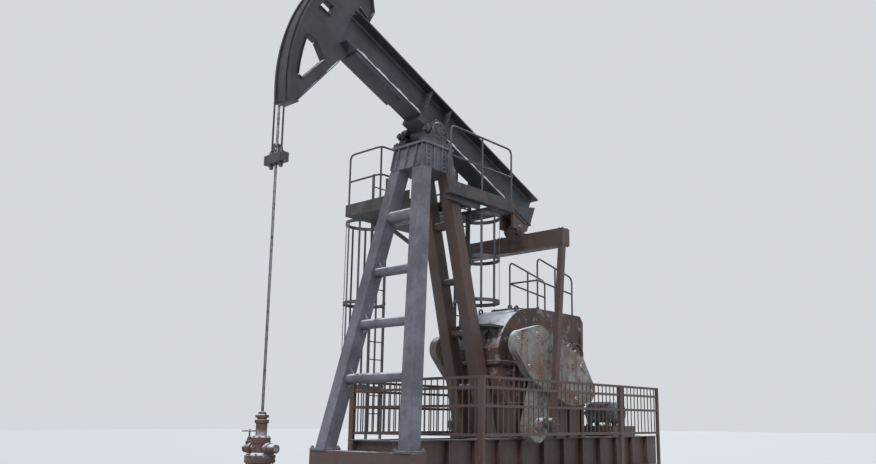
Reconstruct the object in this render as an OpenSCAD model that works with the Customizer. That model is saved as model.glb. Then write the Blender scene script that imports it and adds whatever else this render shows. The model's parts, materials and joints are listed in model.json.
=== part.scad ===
/* [Walking beam] */
// Height of the rocking axis above the ground
pivot_z = 6250; // [5800:10:6600]
// Angle of the beam, with the head up at the top of its stroke
beam_tilt = 23; // [20:0.5:25]
// Angle that the beam rocks through in one stroke
beam_swing = 46; // [40:1:48]
// Depth of the beam
beam_d = 600; // [560:10:640]
// Width of the beam's flanges
beam_w = 370; // [330:10:400]
// Thickness of the beam's flanges
flange_t = 26; // [20:1:30]
// Gap between the rocking axis and the underside of the beam
beam_lift = 130; // [120:5:150]
// Distance from the axis to the beam's rear end
beam_rear = 2890; // [2850:10:2950]

/* [Horsehead] */
// Radius of the curved face about the rocking axis
head_r = 2780; // [2700:10:2850]
// Angle from the middle of the curved face to either end
head_half = 29; // [26:1:31]
// Width of the curved face
head_w = 320; // [280:10:340]
// Depth of the rim behind the curved face
rim_d = 170; // [150:5:190]

/* [Crank drive] */
// Distance of the crankshaft behind the rocking axis
shaft_x = 2430; // [2380:10:2480]
// Height of the crankshaft
shaft_z = 2630; // [2580:10:2680]
// Angle of the cranks before their lowest point
crank_lean = 20; // [15:1:25]
// Distance of the equalizer's bearing behind the rocking axis
bearing_x = 2440; // [2400:10:2480]
// Distance of that bearing below the rocking axis
bearing_drop = 1130; // [1100:10:1160]
// Length of the equalizer across the machine
equalizer_l = 2280; // [2240:10:2320]
// Height of the equalizer
equalizer_h = 300; // [270:10:320]
// Width of the pitmans
pitman_w = 110; // [90:5:130]
// Diameter of the crankshaft
shaft_d = 190; // [160:5:210]
// Diameter of the pins in the lower ends of the pitmans
wrist_d = 100; // [80:5:110]

/* [Tower] */
// Distance of the front feet ahead of the rocking axis
front_foot_x = 1040; // [1000:10:1080]
// Half the distance between the front feet
front_foot_y = 880; // [850:10:900]
// Distance of the rear feet behind the rocking axis
rear_foot_x = 1390; // [1350:10:1420]
// Half the distance between the rear legs
rear_leg_y = 262; // [250:5:275]
// Width of the legs
leg_w = 220; // [200:5:230]
// Height of the service platform
deck_z = 5300; // [5250:10:5350]
// Height of its railing
rail_h = 1000; // [950:10:1050]

/* [Base] */
// Height of the concrete foundation
foundation_h = 800; // [760:10:820]
// Height of the long steel base beams
base_h = 600; // [580:10:620]
// Height of the cross beam under the front feet
front_beam_h = 440; // [420:10:450]
// Length of the base behind the front feet
base_l = 7700; // [7600:50:7800]
// Height of the fence's top rail above the foundation
fence_h = 1520; // [1480:10:1560]

/* [Well] */
// Diameter of the polished rod
rod_d = 36; // [32:1:40]
// Height of the top of the stuffing box
box_z = 1780; // [1700:10:1850]
// Height of the carrier bar's top
carrier_z = 5190; // [5150:10:5230]
// Diameter of the wire ropes
rope_d = 26; // [22:1:30]
// Distance between the wire ropes
rope_gap = 210; // [190:5:230]

/* [Hidden] */
$fn = 48;

// Colours of the paint, rust and concrete
grey = "#5d5f63";
pale = "#9aa1a8";
rust = "#6e4a38";
steel = "#4a4b4e";
concrete = "#8d8a84";

// Small gap where one piece sits on another, and the running fit of shafts
seat = 0.3;
fit = 0.05;
big = 20000;

// The linkage: the crank radius and pitman length that close it at both ends
bearing_0 = [bearing_x, pivot_z - bearing_drop];
bearing_1 = [
  bearing_x * cos(beam_swing) + bearing_drop * sin(beam_swing),
  pivot_z + bearing_x * sin(beam_swing) - bearing_drop * cos(beam_swing)
];
shaft_0 = [shaft_x, shaft_z];
crank_dir = [-sin(crank_lean), -cos(crank_lean)];
reach = norm(bearing_1 - shaft_0);
down = bearing_0 - shaft_0;
crank_r = (reach * reach - down * down) / (2 * (reach - down * crank_dir));
wrist_0 = shaft_0 + crank_r * crank_dir;
pitman_l = norm(bearing_0 - wrist_0);
pitman_lean = atan2(bearing_0[0] - wrist_0[0], bearing_0[1] - wrist_0[1]);

// Planes across the machine, from the gearbox out to the pitmans
gearbox_half = 560;
crank_t = 180;
crank_y = gearbox_half + 60;
weight_t = 150;
weight_y = crank_y + crank_t;
pitman_y = equalizer_l / 2 - pitman_w / 2;
wrist_gap = 8;

// Slopes of the two frames of the tower
leg_top_z = 5990;
front_top_x = 185;
front_top_y = 190;
rear_top_x = 230;
rear_top_y = 234;
base_z = foundation_h + base_h;
foot_z = foundation_h + front_beam_h;
front_lean = atan2(front_foot_x - front_top_x, leg_top_z - foot_z);
rear_lean = atan2(rear_foot_x - rear_top_x, leg_top_z - base_z);
front_l = (leg_top_z - foot_z) / cos(front_lean);
rear_l = (leg_top_z - base_z) / cos(rear_lean);

// A straight bar between two points, its section drawn about its own axis
module along(a, b) {
  v = b - a;
  len = norm(v);
  translate(a)
    rotate([0, acos(v[2] / len), atan2(v[1], v[0])])
      linear_extrude(len) children();
}

module round_bar(a, b, d, sides = 6) {
  along(a, b) circle(d = d, $fn = sides);
}

// Places its children in the beam's own frame, about the rocking axis
module in_beam() {
  translate([0, 0, pivot_z]) rotate([0, beam_tilt, 0]) children();
}

// Stands a side outline up: its x runs rearward and its y runs up
module side_plate(y, t) {
  translate([0, y + t / 2, 0]) rotate([90, 0, 0]) linear_extrude(t) children();
}

// Foundation: wide under the fence, narrower under the front feet
base_half = 430;
base_flange = 200;
base_x0 = -front_foot_x + 130;
base_x1 = base_x0 + base_l;
fence_x0 = -130;
fence_x1 = 3720;
fence_x2 = 5100;
fence_y = 1400;
pad_margin = 90;
motor_x = 5350;
motor_z = 1860;
module foundation() {
  color(concrete) linear_extrude(foundation_h) union() {
    translate([-front_foot_x - 250, -front_foot_y - 280])
      square([1200, 2 * front_foot_y + 560]);
    translate([fence_x0 - pad_margin, -fence_y - pad_margin])
      square([fence_x2 - fence_x0 + 2 * pad_margin, 2 * (fence_y + pad_margin)]);
    translate([fence_x2, -base_half - 430])
      square([base_x1 + 150 - fence_x2, 2 * base_half + 860]);
  }
}

module i_section(w, h, tf, tw) {
  union() {
    translate([-w / 2, 0]) square([w, tf]);
    translate([-tw / 2, 0]) square([tw, h]);
    translate([-w / 2, h - tf]) square([w, tf]);
  }
}

// Base: two long beams, cross beams between them and a wide beam at the front
cross_x = [base_x0 + 100, rear_foot_x, 2300, 3300, 4300, motor_x - 300, motor_x + 300, base_x1 - 100];
module base_frame() {
  color(rust) union() {
    for (s = [-1, 1])
      translate([base_x0, s * base_half, foundation_h])
        rotate([90, 0, 90]) linear_extrude(base_l) i_section(base_flange, base_h, 20, 14);
    for (x = cross_x)
      translate([x, base_half, foundation_h])
        rotate([90, 0, 0]) linear_extrude(2 * base_half) i_section(base_flange, base_h, 20, 14);
    translate([-front_foot_x - 130, -front_foot_y - 200, foundation_h])
      cube([262, 2 * front_foot_y + 400, front_beam_h]);
  }
}

// Half distance between two legs, some way up their slope
function leg_y(foot_y, top_y, len, up) = foot_y + (top_y - foot_y) * up / len;

// A leg of one frame of the tower, drawn flat: y across, z up the slope
leg_over = 400;
module leg_outline(side, foot_y, top_y, len) {
  low = leg_y(foot_y, top_y, len, -leg_over);
  high = leg_y(foot_y, top_y, len, len + leg_over);
  half = leg_w * 0.475;
  polygon([
    [side * low - half, -leg_over], [side * low + half, -leg_over],
    [side * high + half, len + leg_over], [side * high - half, len + leg_over]
  ]);
}

module in_front_frame() {
  translate([-front_foot_x, 0, foot_z]) rotate([0, front_lean, 0]) children();
}

module in_rear_frame() {
  translate([rear_foot_x, 0, base_z]) rotate([0, -rear_lean, 0]) children();
}

module upright(t) {
  rotate([90, 0, 90]) translate([0, 0, -t / 2]) linear_extrude(t) children();
}

// The foot and the head of a leg are cut level, and it stands on a shoe
module leg(side, foot_y, top_y, len, frame_lean, rise) {
  intersection() {
    upright(leg_w) leg_outline(side, foot_y, top_y, len);
    rotate([0, -frame_lean, 0]) translate([-big / 2, -big / 2, 20]) cube([big, big, rise - 20]);
  }
  rotate([0, -frame_lean, 0])
    translate([-165, side * foot_y - 160, seat]) cube([330, 320, 30]);
}

module front_leg(side) {
  color(grey) in_front_frame() union()
    leg(side, front_foot_y, front_top_y, front_l, front_lean, head_low - foot_z - seat);
}

module rear_leg(side) {
  color(rust) in_rear_frame() union()
    leg(side, rear_leg_y, rear_top_y, rear_l, -rear_lean, head_low - base_z - seat);
}

// Cross tubes between two legs, cut to the legs' sloping inner faces
module rungs(heights, ds, foot_y, top_y, len) {
  half = leg_w * 0.475 + seat;
  intersection() {
    for (i = [0 : len(heights) - 1])
      translate([0, 0, heights[i]]) rotate([90, 0, 0])
        cylinder(d = ds[i], h = 4 * foot_y, center = true, $fn = 32);
    upright(leg_w) polygon([
      [-foot_y + half, 0], [foot_y - half, 0], [top_y - half, len], [-top_y + half, len]
    ]);
  }
}

front_rung_z = [1070, 1910, 2740, 3640];
module front_rungs() {
  color(grey) in_front_frame()
    rungs(front_rung_z, [150, 150, 150, 210], front_foot_y, front_top_y, front_l);
}

rear_rung_z = [850, 1750, 2610, 3540];
module rear_rungs() {
  color(rust) in_rear_frame()
    rungs(rear_rung_z, [120, 120, 120, 150], rear_leg_y, rear_top_y, rear_l);
}

// Head of the tower: a plated box that the legs run up into
head_low = leg_top_z - 380;
head_half_y = 330;
module tower_head() {
  color(grey) union() {
    side_plate(0, 2 * head_half_y) polygon([
      [-front_top_x - 190, head_low], [rear_top_x + 200, head_low],
      [rear_top_x + 90, leg_top_z], [-front_top_x - 110, leg_top_z]
    ]);
    translate([-340, -head_half_y - 40, leg_top_z])
      cube([690, 2 * head_half_y + 80, 40]);
  }
}

// Two bearing blocks that carry the beam's shaft
saddle_d = 150;
block_y = 290;
block_t = 130;
module saddle_bearings() {
  low = leg_top_z + 40;
  color(steel) for (s = [-1, 1])
    difference() {
      side_plate(s * block_y, block_t) union() {
        translate([-310, low]) square([620, 60]);
        translate([-180, low]) square([360, pivot_z - low]);
        translate([0, pivot_z]) circle(r = 180);
      }
      translate([0, s * block_y, pivot_z]) rotate([90, 0, 0])
        cylinder(d = saddle_d + 2 * fit, h = block_t + 2, center = true);
    }
}

// Service platform behind the tower, with a hatch for the rear ladder
deck_t = 60;
deck_x0 = 120;
deck_x1 = 1780;
deck_y0 = -520;
deck_y1 = 2000;
toe_h = 150;
notch_x = 620;
notch_y = 400;
module platform_deck() {
  color(steel) union() {
    translate([0, 0, deck_z - deck_t]) linear_extrude(deck_t) difference() {
      translate([deck_x0, deck_y0]) square([deck_x1 - deck_x0, deck_y1 - deck_y0]);
      translate([deck_x0 - 10, -notch_y]) square([notch_x - deck_x0, 2 * notch_y]);
      translate([ladder_rear_x - 320, ladder_rear_y - 700]) square([640, 728 + seat]);
    }
    translate([deck_x0, deck_y0, deck_z - 1]) cube([deck_x1 - deck_x0, 8, toe_h]);
    translate([deck_x0, notch_y, deck_z - 1]) cube([8, deck_y1 - notch_y, toe_h]);
    translate([deck_x1 - 8, deck_y0, deck_z - 1]) cube([8, deck_y1 - deck_y0, toe_h]);
  }
}

// Bearers beside the rear legs and a strut out to the far end of the deck
bearer_y = 350;
bearer_w = 80;
module platform_brackets() {
  low = deck_z - deck_t - seat;
  color(steel) difference() {
    union() {
      for (s = [-1, 1])
        translate([160, s * (bearer_y + bearer_w / 2) - bearer_w / 2, low - bearer_w])
          cube([800, bearer_w, bearer_w]);
      for (x = [700, 880])
        translate([x, bearer_y + 10, low - bearer_w]) cube([bearer_w, deck_y1 - bearer_y - 60, bearer_w]);
      translate([700, -bearer_y - bearer_w, low - bearer_w]) cube([bearer_w, 2 * bearer_y + 100, bearer_w]);
      along([740, bearer_y + 60, low - 900], [740, 1700, low - 20]) square(60, center = true);
      along([740, bearer_y + 60, low - 900], [740, bearer_y + 60, low - 20]) square(60, center = true);
    }
    translate([-big / 2, -big / 2, low]) cube([big, big, 400]);
  }
}

// A run of railing along given corner points, with posts and a middle rail
module railing(points, z, posts) {
  for (i = [0 : len(points) - 2])
    for (h = [rail_h, rail_h * 0.5])
      round_bar(concat(points[i], z + h), concat(points[i + 1], z + h), 34);
  for (p = posts)
    round_bar(concat(p, z), concat(p, z + rail_h), 40);
  for (p = points)
    for (h = [rail_h, rail_h * 0.5])
      translate(concat(p, z + h)) cube(34, center = true);
}

module platform_railing() {
  inset = 40;
  x0 = deck_x0 + inset;
  x1 = deck_x1 - inset;
  y0 = deck_y0 + inset;
  y1 = deck_y1 - inset;
  mid_x = (x0 + x1) / 2;
  far_y = notch_y + 60;
  z = deck_z + seat;
  color(steel) union() {
    railing([[x0, y0], [x1, y0]], z, [[x0, y0], [mid_x, y0], [x1, y0]]);
    railing([[x1, far_y], [x1, y1], [x1 - 400, y1]], z,
      [[x1, far_y], [x1, (far_y + y1) / 2], [x1, y1], [x1 - 400, y1]]);
    railing([[x0, y1], [x0, 1150], [x0 + 380, 1150]], z, [[x0, y1], [x0, 1150], [x0 + 380, 1150]]);
  }
}

// Ladders with safety cages
rung_gap = 320;
ladder_w = 340;
module ladder(z0, z1) {
  union() {
    for (s = [-1, 1]) translate([s * ladder_w / 2, 0, z0]) translate([-9, -28, 0]) cube([18, 56, z1 - z0]);
    for (z = [z0 + 200 : rung_gap : z1 - 100])
      translate([-ladder_w / 2, -9, z - 9]) cube([ladder_w, 18, 18]);
  }
}

// Safety cage: hoops strapped to the ladder's sides, joined by flat bars
cage_r = 385;
cage_t = 12;
cage_band = 60;
strap_x = ladder_w / 2 + 9 + seat;
cage_centre = 28 + sqrt((cage_r - cage_t) * (cage_r - cage_t) - strap_x * strap_x);
module hoop_outline() {
  difference() {
    translate([0, cage_centre]) circle(r = cage_r, $fn = 72);
    translate([0, cage_centre]) circle(r = cage_r - cage_t, $fn = 72);
    translate([-strap_x, -200]) square([2 * strap_x, 400]);
    translate([-400, -200]) square([800, 220]);
  }
  for (s = [-1, 1])
    translate([s * (strap_x + cage_t / 2) - cage_t / 2, -26]) square([cage_t, 70]);
}

module cage(z0, z1, hoops) {
  union() {
    for (z = hoops) translate([0, 0, z - cage_band / 2]) linear_extrude(cage_band) hoop_outline();
    for (a = [-30, 10, 50, 90, 130, 170, 210])
      translate([0, cage_centre, 0]) rotate([0, 0, a])
        translate([cage_r - cage_t - 5, -20, z0]) cube([8, 40, z1 - z0]);
  }
}

ladder_left_x = 960;
ladder_left_y = deck_y1 + 28 + seat;
module ladder_left() {
  color(steel) translate([ladder_left_x, ladder_left_y, 0]) ladder(0, deck_z + 900);
}

module ladder_left_cage() {
  color(steel) translate([ladder_left_x, ladder_left_y, 0]) cage(2260, 5340, [2280, 3800, 5320]);
}

// Landing in front of the gearbox, where the rear ladder stands
gear_case_r = 1000;
gear_case_x = shaft_x - 100;
gearbox_top = shaft_z + gear_case_r + 10;
landing_z = 3250;
landing_x0 = 1130;
landing_half = 480;
ladder_clear = 25;
ladder_rear_x = gear_case_x - sqrt(gear_case_r * gear_case_r - pow(landing_z - shaft_z, 2))
  - ladder_w / 2 - 9 - ladder_clear;
ladder_rear_y = 300;
module gearbox_landing() {
  color(steel) difference() {
    union() {
      translate([landing_x0, -landing_half, landing_z - 40]) cube([800, 2 * landing_half, 40]);
      for (s = [-1, 1])
        side_plate(s * 380, 16) polygon([
          [landing_x0 + 60, landing_z - 20], [1900, landing_z - 20], [1900, landing_z - 600]
        ]);
    }
    side_plate(0, 3000) gearbox_side(seat);
  }
}

module ladder_rear() {
  color(steel) translate([ladder_rear_x, ladder_rear_y, 0])
    ladder(landing_z + seat, deck_z + 900);
}

module ladder_rear_cage() {
  color(steel) translate([ladder_rear_x, ladder_rear_y, 0]) mirror([0, 1, 0])
    cage(3620, 5160, [3660, 4400, 5140]);
}

// Gearbox on its stand
stand_h = 560;
stand_half = 520;
gearbox_x0 = 1560;
gearbox_x1 = 3950;
module gearbox_stand() {
  color(rust) translate([gearbox_x0 + 60, -stand_half, base_z + seat / 2])
    cube([gearbox_x1 - gearbox_x0 - 120, 2 * stand_half, stand_h - seat]);
}

input_x = 3450;
input_z = 2880;
module gearbox_side(extra = 0) {
  low = base_z + stand_h;
  union() {
    translate([gearbox_x0, low]) square([gearbox_x1 - gearbox_x0, 80]);
    intersection() {
      translate([gear_case_x, shaft_z]) circle(r = gear_case_r + extra, $fn = 96);
      translate([gearbox_x0 - 200, low]) square([3000, 4000]);
    }
    polygon([
      [shaft_x, low], [gearbox_x1 - 60, low], [gearbox_x1 - 20, gearbox_top - 120],
      [gearbox_x1 - 120, gearbox_top], [shaft_x - 80, gearbox_top], [shaft_x - 80, low]
    ]);
  }
}

// Gearbox, with bosses round its two shafts
module gearbox() {
  color(rust) difference() {
    union() {
      side_plate(0, 2 * gearbox_half - 120) gearbox_side();
      translate([shaft_x, 0, shaft_z]) rotate([90, 0, 0])
        cylinder(r = 230, h = 2 * gearbox_half, center = true);
      translate([input_x, 0, input_z]) rotate([90, 0, 0])
        cylinder(r = 130, h = 2 * gearbox_half - 40, center = true);
    }
    translate([shaft_x, 0, shaft_z]) rotate([90, 0, 0])
      cylinder(d = shaft_d + 2 * fit, h = 2 * gearbox_half + 2, center = true);
  }
}

deck2_x0 = 2700;
deck2_x1 = 3860;
deck2_half = 340;
module gearbox_deck() {
  color(steel) translate([deck2_x0, -deck2_half, gearbox_top + seat])
    cube([deck2_x1 - deck2_x0, 2 * deck2_half, 40]);
}

module gearbox_railing() {
  z = gearbox_top + 40 + 2 * seat;
  x0 = deck2_x0 + 20;
  x1 = deck2_x1 - 20;
  y = deck2_half - 20;
  color(steel) union()
    railing([[x1, y], [x0, y], [x0, -y], [x1, -y]], z, [[x1, y], [(x0 + x1) / 2, y], [x0, y], [x0, -y], [x1, -y]]);
}

module brake_drum() {
  color(rust) translate([input_x, -gearbox_half + 20 - seat, input_z]) rotate([90, 0, 0]) union() {
    cylinder(r = 220, h = 130);
  }
}

sheave_r = 480;
belt_y = gearbox_half + 60;
belt_w = 150;
module driven_sheave() {
  color(rust) translate([input_x, gearbox_half - 20 + seat, input_z]) rotate([-90, 0, 0]) union() {
    cylinder(r = 100, h = 60);
    translate([0, 0, 50]) cylinder(r = sheave_r, h = belt_w, $fn = 96);
  }
}

motor_r = 230;
motor_half = 330;
module motor() {
  color(grey) union() {
    translate([motor_x, -motor_half - 120, motor_z]) rotate([-90, 0, 0])
      cylinder(r = motor_r, h = 2 * motor_half + 120);
    translate([motor_x - 230, -motor_half, motor_z - motor_r - 30]) cube([460, 2 * motor_half, 200]);
    translate([motor_x, 0, motor_z]) rotate([-90, 0, 0]) cylinder(r = 35, h = belt_y + 130);
  }
}

module motor_base() {
  color(rust) translate([motor_x - 420, -base_half - 90, base_z + seat])
    cube([840, 2 * base_half + 180, motor_z - motor_r - 30 - base_z - 2 * seat]);
}

module motor_sheave() {
  color(rust) translate([motor_x, gearbox_half + 30, motor_z]) rotate([-90, 0, 0])
    difference() {
      cylinder(r = 130, h = belt_w);
      translate([0, 0, -1]) cylinder(r = 35 + seat, h = belt_w + 2);
    }
}

// The belt, one loop round both sheaves
belt_t = 20;
motor_sheave_r = 130;
belt_steps = 24;
function arc_points(c, r, a0, a1, n) =
  [for (i = [0 : n]) c + r * [cos(a0 + (a1 - a0) * i / n), sin(a0 + (a1 - a0) * i / n)]];

module belt_outline(extra) {
  v = [motor_x - input_x, motor_z - input_z];
  turn = asin((sheave_r - motor_sheave_r) / norm(v));
  // The corners lie outside the true circles, so that the flats clear them
  out = 1 / cos((90 + turn) / belt_steps);
  out_small = 1 / cos((180 - 2 * turn) / belt_steps);
  translate([input_x, input_z]) rotate(atan2(v[1], v[0])) polygon(concat(
    arc_points([0, 0], (sheave_r + extra) * out, 90 - turn, 270 + turn, belt_steps),
    arc_points([norm(v), 0], (motor_sheave_r + extra) * out_small, -90 + turn, 90 - turn, belt_steps / 2)
  ));
}

module drive_belt() {
  y0 = gearbox_half + 30;
  color("#2a2a2a") side_plate(y0 + belt_w / 2, belt_w - 20) difference() {
    belt_outline(belt_t);
    belt_outline(seat);
  }
}

// A fence panel: end posts, rails and upright bars
fence_bar = 14;
fence_gap = 125;
post_w = 50;
fence_low = base_h + 60;
module fence_panel(len) {
  union() {
    for (x = [0, len - post_w]) translate([x, -post_w / 2, seat]) cube([post_w, post_w, fence_h - seat]);
    for (z = [fence_low, fence_h - 450, fence_h - 190, fence_h - 40])
      translate([post_w / 2, -15, z]) cube([len - post_w, 30, 40]);
    for (x = [post_w + fence_gap / 2 : fence_gap : len - post_w - 20])
      translate([x - fence_bar / 2, -fence_bar / 2, fence_low]) cube([fence_bar, fence_bar, fence_h - fence_low - 10]);
  }
}

// The front panel fits between the side panels, which carry on in a shorter panel
end_l = 2 * fence_y - post_w - 2 * seat;
module fence_end(x) {
  color(rust) translate([x, -end_l / 2, foundation_h]) rotate([0, 0, 90]) fence_panel(end_l);
}

module fence_side(s, x0, x1) {
  color(rust) translate([x0, s * fence_y, foundation_h]) fence_panel(x1 - x0);
}

// Wellhead and stuffing box
well_x = -head_r - seat - rope_d / 2;
module wellhead() {
  color(rust) difference() {
    union() {
      translate([well_x, 0, 0]) cylinder(r = 110, h = box_z - 360);
      translate([well_x, 0, 600]) cylinder(r = 230, h = 70);
      translate([well_x, 0, 1180]) cylinder(r = 190, h = 60);
      translate([well_x, 0, 1320]) rotate([90, 0, 0]) cylinder(r = 60, h = 700, center = true);
    }
    translate([well_x, 0, -1]) cylinder(d = rod_d + 30, h = box_z);
  }
}

module stuffing_box() {
  color(rust) difference() {
    translate([well_x, 0, box_z - 360 + seat]) union() {
      cylinder(r = 90, h = 360 - seat);
      cylinder(r = 120, h = 60);
    }
    translate([well_x, 0, -1]) cylinder(d = rod_d + 2 * fit, h = box_z + 10);
  }
}

// Beam, its cover plate and stiffeners
beam_front = -2040;
module walking_beam() {
  color(grey) in_beam() union() {
    translate([beam_front, 0, beam_lift])
      rotate([90, 0, 90]) linear_extrude(beam_rear - beam_front) i_section(beam_w, beam_d, flange_t, 22);
    translate([-1800, -140, beam_lift - 45]) cube([1050, 280, 46]);
    for (x = [-1500, -750, -250, 250, 900, 1600, 2250, 2700])
      translate([x - 7, -beam_w / 2 + 10, beam_lift + 1]) cube([14, beam_w - 20, beam_d - 2]);
  }
}

// Horsehead: a curved face plate on a boxed frame with two openings
face_t = 24;
head_box_w = head_w - 60;
module head_outline() {
  slope = tan(head_half);
  intersection() {
    circle(r = head_r - face_t / 2, $fn = 180);
    polygon([
      [-3200, -3200 * slope], [-2290, -2290 * slope], [-2025, -296],
      [beam_front - seat, beam_lift - 60], [beam_front - seat, beam_lift + beam_d + seat],
      [-1870, beam_lift + beam_d + seat], [-1990, 920], [-2130, 1140], [-2290, 2290 * slope],
      [-3200, 3200 * slope]
    ]);
  }
}

// One opening, between the rim, the middle web and a brace
module head_opening() {
  intersection() {
    circle(r = head_r - rim_d, $fn = 180);
    polygon([[-2900, 255], [-2470, 255], [-2360, 305], [-2240, 375], [-2400, 922], [-2900, 940]]);
  }
}

module face_outline() {
  intersection() {
    difference() {
      circle(r = head_r, $fn = 180);
      circle(r = head_r - face_t, $fn = 180);
    }
    slope = tan(head_half);
    polygon([[0, 0], [-3200, -3200 * slope], [-3200, 3200 * slope]]);
  }
}

module horsehead() {
  color(grey) in_beam() union() {
    side_plate(0, head_w) face_outline();
    side_plate(0, head_box_w) difference() {
      head_outline();
      translate([0, -45]) head_opening();
      translate([0, -45]) mirror([0, 1]) head_opening();
    }
  }
}

// Saddle under the beam, with the shaft it rocks on
module saddle() {
  color(steel) in_beam() union() {
    difference() {
      translate([-330, -190, 95 - 60]) cube([660, 380, beam_lift - seat - 35]);
      translate([0, 0, -1000]) cube(10, center = true);
    }
    rotate([90, 0, 0]) cylinder(r = 110, h = 380, center = true);
    rotate([90, 0, 0]) cylinder(d = saddle_d, h = 2 * block_y + block_t + 40, center = true);
  }
}

// Bracket under the beam's rear end, with two lugs for the equalizer's pin
lug_y = 130;
lug_t = 50;
pin_d = 110;
module tail_bracket() {
  color(rust) difference() {
    union() {
      in_beam() translate([2130, -170, beam_lift - 50]) cube([640, 340, 50 - seat]);
      intersection() {
        for (s = [-1, 1]) side_plate(s * lug_y, lug_t) union() {
          translate(bearing_0) circle(r = 110);
          translate([bearing_0[0] - 230, bearing_0[1]]) square([460, 900]);
        }
        in_beam() translate([1900, -300, beam_lift - 1200]) cube([960, 600, 1200 - seat - 20]);
      }
    }
    translate([bearing_0[0], 0, bearing_0[1]]) rotate([90, 0, 0])
      cylinder(d = pin_d + 2 * fit, h = 600, center = true);
  }
}

// Ropes on the curved face, from where they leave it up to the head's top
rope_r0 = head_r + seat + rope_d / 2;
rope_wrap = beam_tilt + head_half - 3;
module wrapped_ropes() {
  color("#2f2f31") for (s = [-1, 1])
    translate([0, s * rope_gap / 2, pivot_z]) rotate([90, 0, 0]) rotate([0, 0, 180 - rope_wrap])
      rotate_extrude(angle = rope_wrap, $fn = 180)
        translate([rope_r0, 0]) circle(d = rope_d, $fn = 12);
}

// Equalizer and pitmans
module equalizer() {
  eq_w = 220;
  top = bearing_0[1] - 125;
  color(rust) union() {
    translate([bearing_0[0] - eq_w / 2, -equalizer_l / 2, top - equalizer_h]) cube([eq_w, equalizer_l, equalizer_h]);
    translate([bearing_0[0] - 90, -95, top - 10]) cube([180, 190, 140]);
    translate([bearing_0[0], 0, bearing_0[1]]) rotate([90, 0, 0]) cylinder(r = 100, h = 190, center = true);
    translate([bearing_0[0], 0, bearing_0[1]]) rotate([90, 0, 0])
      cylinder(d = pin_d, h = 2 * lug_y + lug_t + 60, center = true);
  }
}

module pitman(s) {
  top = bearing_0[1] - 125 - equalizer_h - seat;
  dx = tan(pitman_lean);
  x_top = bearing_0[0] - dx * (bearing_0[1] - top);
  inner = weight_y + weight_t + wrist_gap;
  color(rust) union() {
    difference() {
      along([x_top + 30 * dx, s * pitman_y, top + 30], [wrist_0[0], s * pitman_y, wrist_0[1]])
        square([pitman_w, pitman_w - 20], center = true);
      translate([0, -big / 2, top]) cube([big, big, 500]);
    }
    translate([wrist_0[0], s * pitman_y, wrist_0[1]]) rotate([90, 0, 0])
      cylinder(r = 120, h = pitman_w - 10, center = true);
    translate([wrist_0[0], s * (inner + pitman_y) / 2, wrist_0[1]]) rotate([90, 0, 0])
      cylinder(d = wrist_d, h = pitman_y - inner, center = true);
  }
}

// Cranks and counterweights
module crankshaft() {
  color(steel) translate([shaft_x, 0, shaft_z]) rotate([90, 0, 0])
    cylinder(d = shaft_d, h = 2 * (crank_y + crank_t) - 20, center = true);
}

// A side outline in the crank's own frame: y runs from the shaft to the pin
module in_crank() {
  translate(shaft_0) rotate(180 - crank_lean) children();
}

crank_l = crank_r + 300;
module crank(s) {
  color(grey) difference() {
    union() {
    side_plate(s * (crank_y + crank_t / 2), crank_t) in_crank() union() {
      circle(r = 300);
      polygon([[-300, 0], [300, 0], [260, crank_l - 200], [-260, crank_l - 200]]);
      translate([0, crank_l - 260]) circle(r = 260);
    }
    // Boss that carries the pin out to the plane of the pitman
    side_plate(s * (weight_y + weight_t / 2), weight_t + 2) translate(wrist_0) circle(r = 115);
    }
    translate([shaft_x, 0, shaft_z]) rotate([90, 0, 0])
      cylinder(d = shaft_d + 2 * fit, h = 3000, center = true);
  }
}

weight_half = 1230;
weight_end = 260;
weight_top = 560;
weight_low = 640;
module weight_outline() {
  c = weight_half - weight_end;
  polygon(concat(
    [[0, -weight_top]], arc_points([c, 60], weight_end, -65, 75, 10), [[420, weight_low], [-420, weight_low]],
    arc_points([-c, 60], weight_end, 105, 245, 10)
  ));
}

module counterweights() {
  color(pale) for (s = [-1, 1])
    side_plate(s * (weight_y + weight_t / 2 + seat), weight_t) in_crank() weight_outline();
}

// Carrier bar, polished rod and the ropes between them and the head
module carrier_bar() {
  color(steel) difference() {
    union() {
      translate([well_x - 55, -200, carrier_z - 130]) cube([110, 400, 130]);
    }
    translate([well_x, 0, 0]) cylinder(d = rod_d + 2 * seat, h = big);
  }
}

module polished_rod() {
  color(steel) union() {
    translate([well_x, 0, box_z - 300]) cylinder(d = rod_d, h = 5900 - box_z + 300);
    translate([well_x, 0, carrier_z + seat]) cylinder(r = 50, h = 140);
  }
}

module hanging_ropes() {
  color("#2f2f31") for (s = [-1, 1])
    translate([well_x, s * rope_gap / 2, carrier_z + seat])
      cylinder(d = rope_d, h = pivot_z - carrier_z - seat, $fn = 12);
}

foundation();
base_frame();
front_leg(1);  // front_leg_left
front_leg(-1);  // front_leg_right
front_rungs();
rear_leg(1);  // rear_leg_left
rear_leg(-1);  // rear_leg_right
rear_rungs();
tower_head();
saddle_bearings();
platform_deck();
platform_brackets();
platform_railing();
ladder_left();
ladder_left_cage();
ladder_rear();
ladder_rear_cage();
gearbox_stand();
gearbox();
gearbox_landing();
gearbox_deck();
gearbox_railing();
brake_drum();
driven_sheave();
motor();
motor_base();
motor_sheave();
drive_belt();
fence_end(fence_x0 + post_w / 2);  // fence_front
fence_side(1, fence_x0, fence_x1);  // fence_left
fence_side(-1, fence_x0, fence_x1);  // fence_right
fence_side(1, fence_x1 + seat, fence_x2);  // fence_left_end
fence_side(-1, fence_x1 + seat, fence_x2);  // fence_right_end
wellhead();
stuffing_box();
walking_beam();
horsehead();
saddle();
tail_bracket();
wrapped_ropes();
equalizer();
pitman(1);  // pitman_left
pitman(-1);  // pitman_right
crankshaft();
crank(1);  // crank_left
crank(-1);  // crank_right
counterweights();
carrier_bar();
polished_rod();
hanging_ropes();
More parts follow.
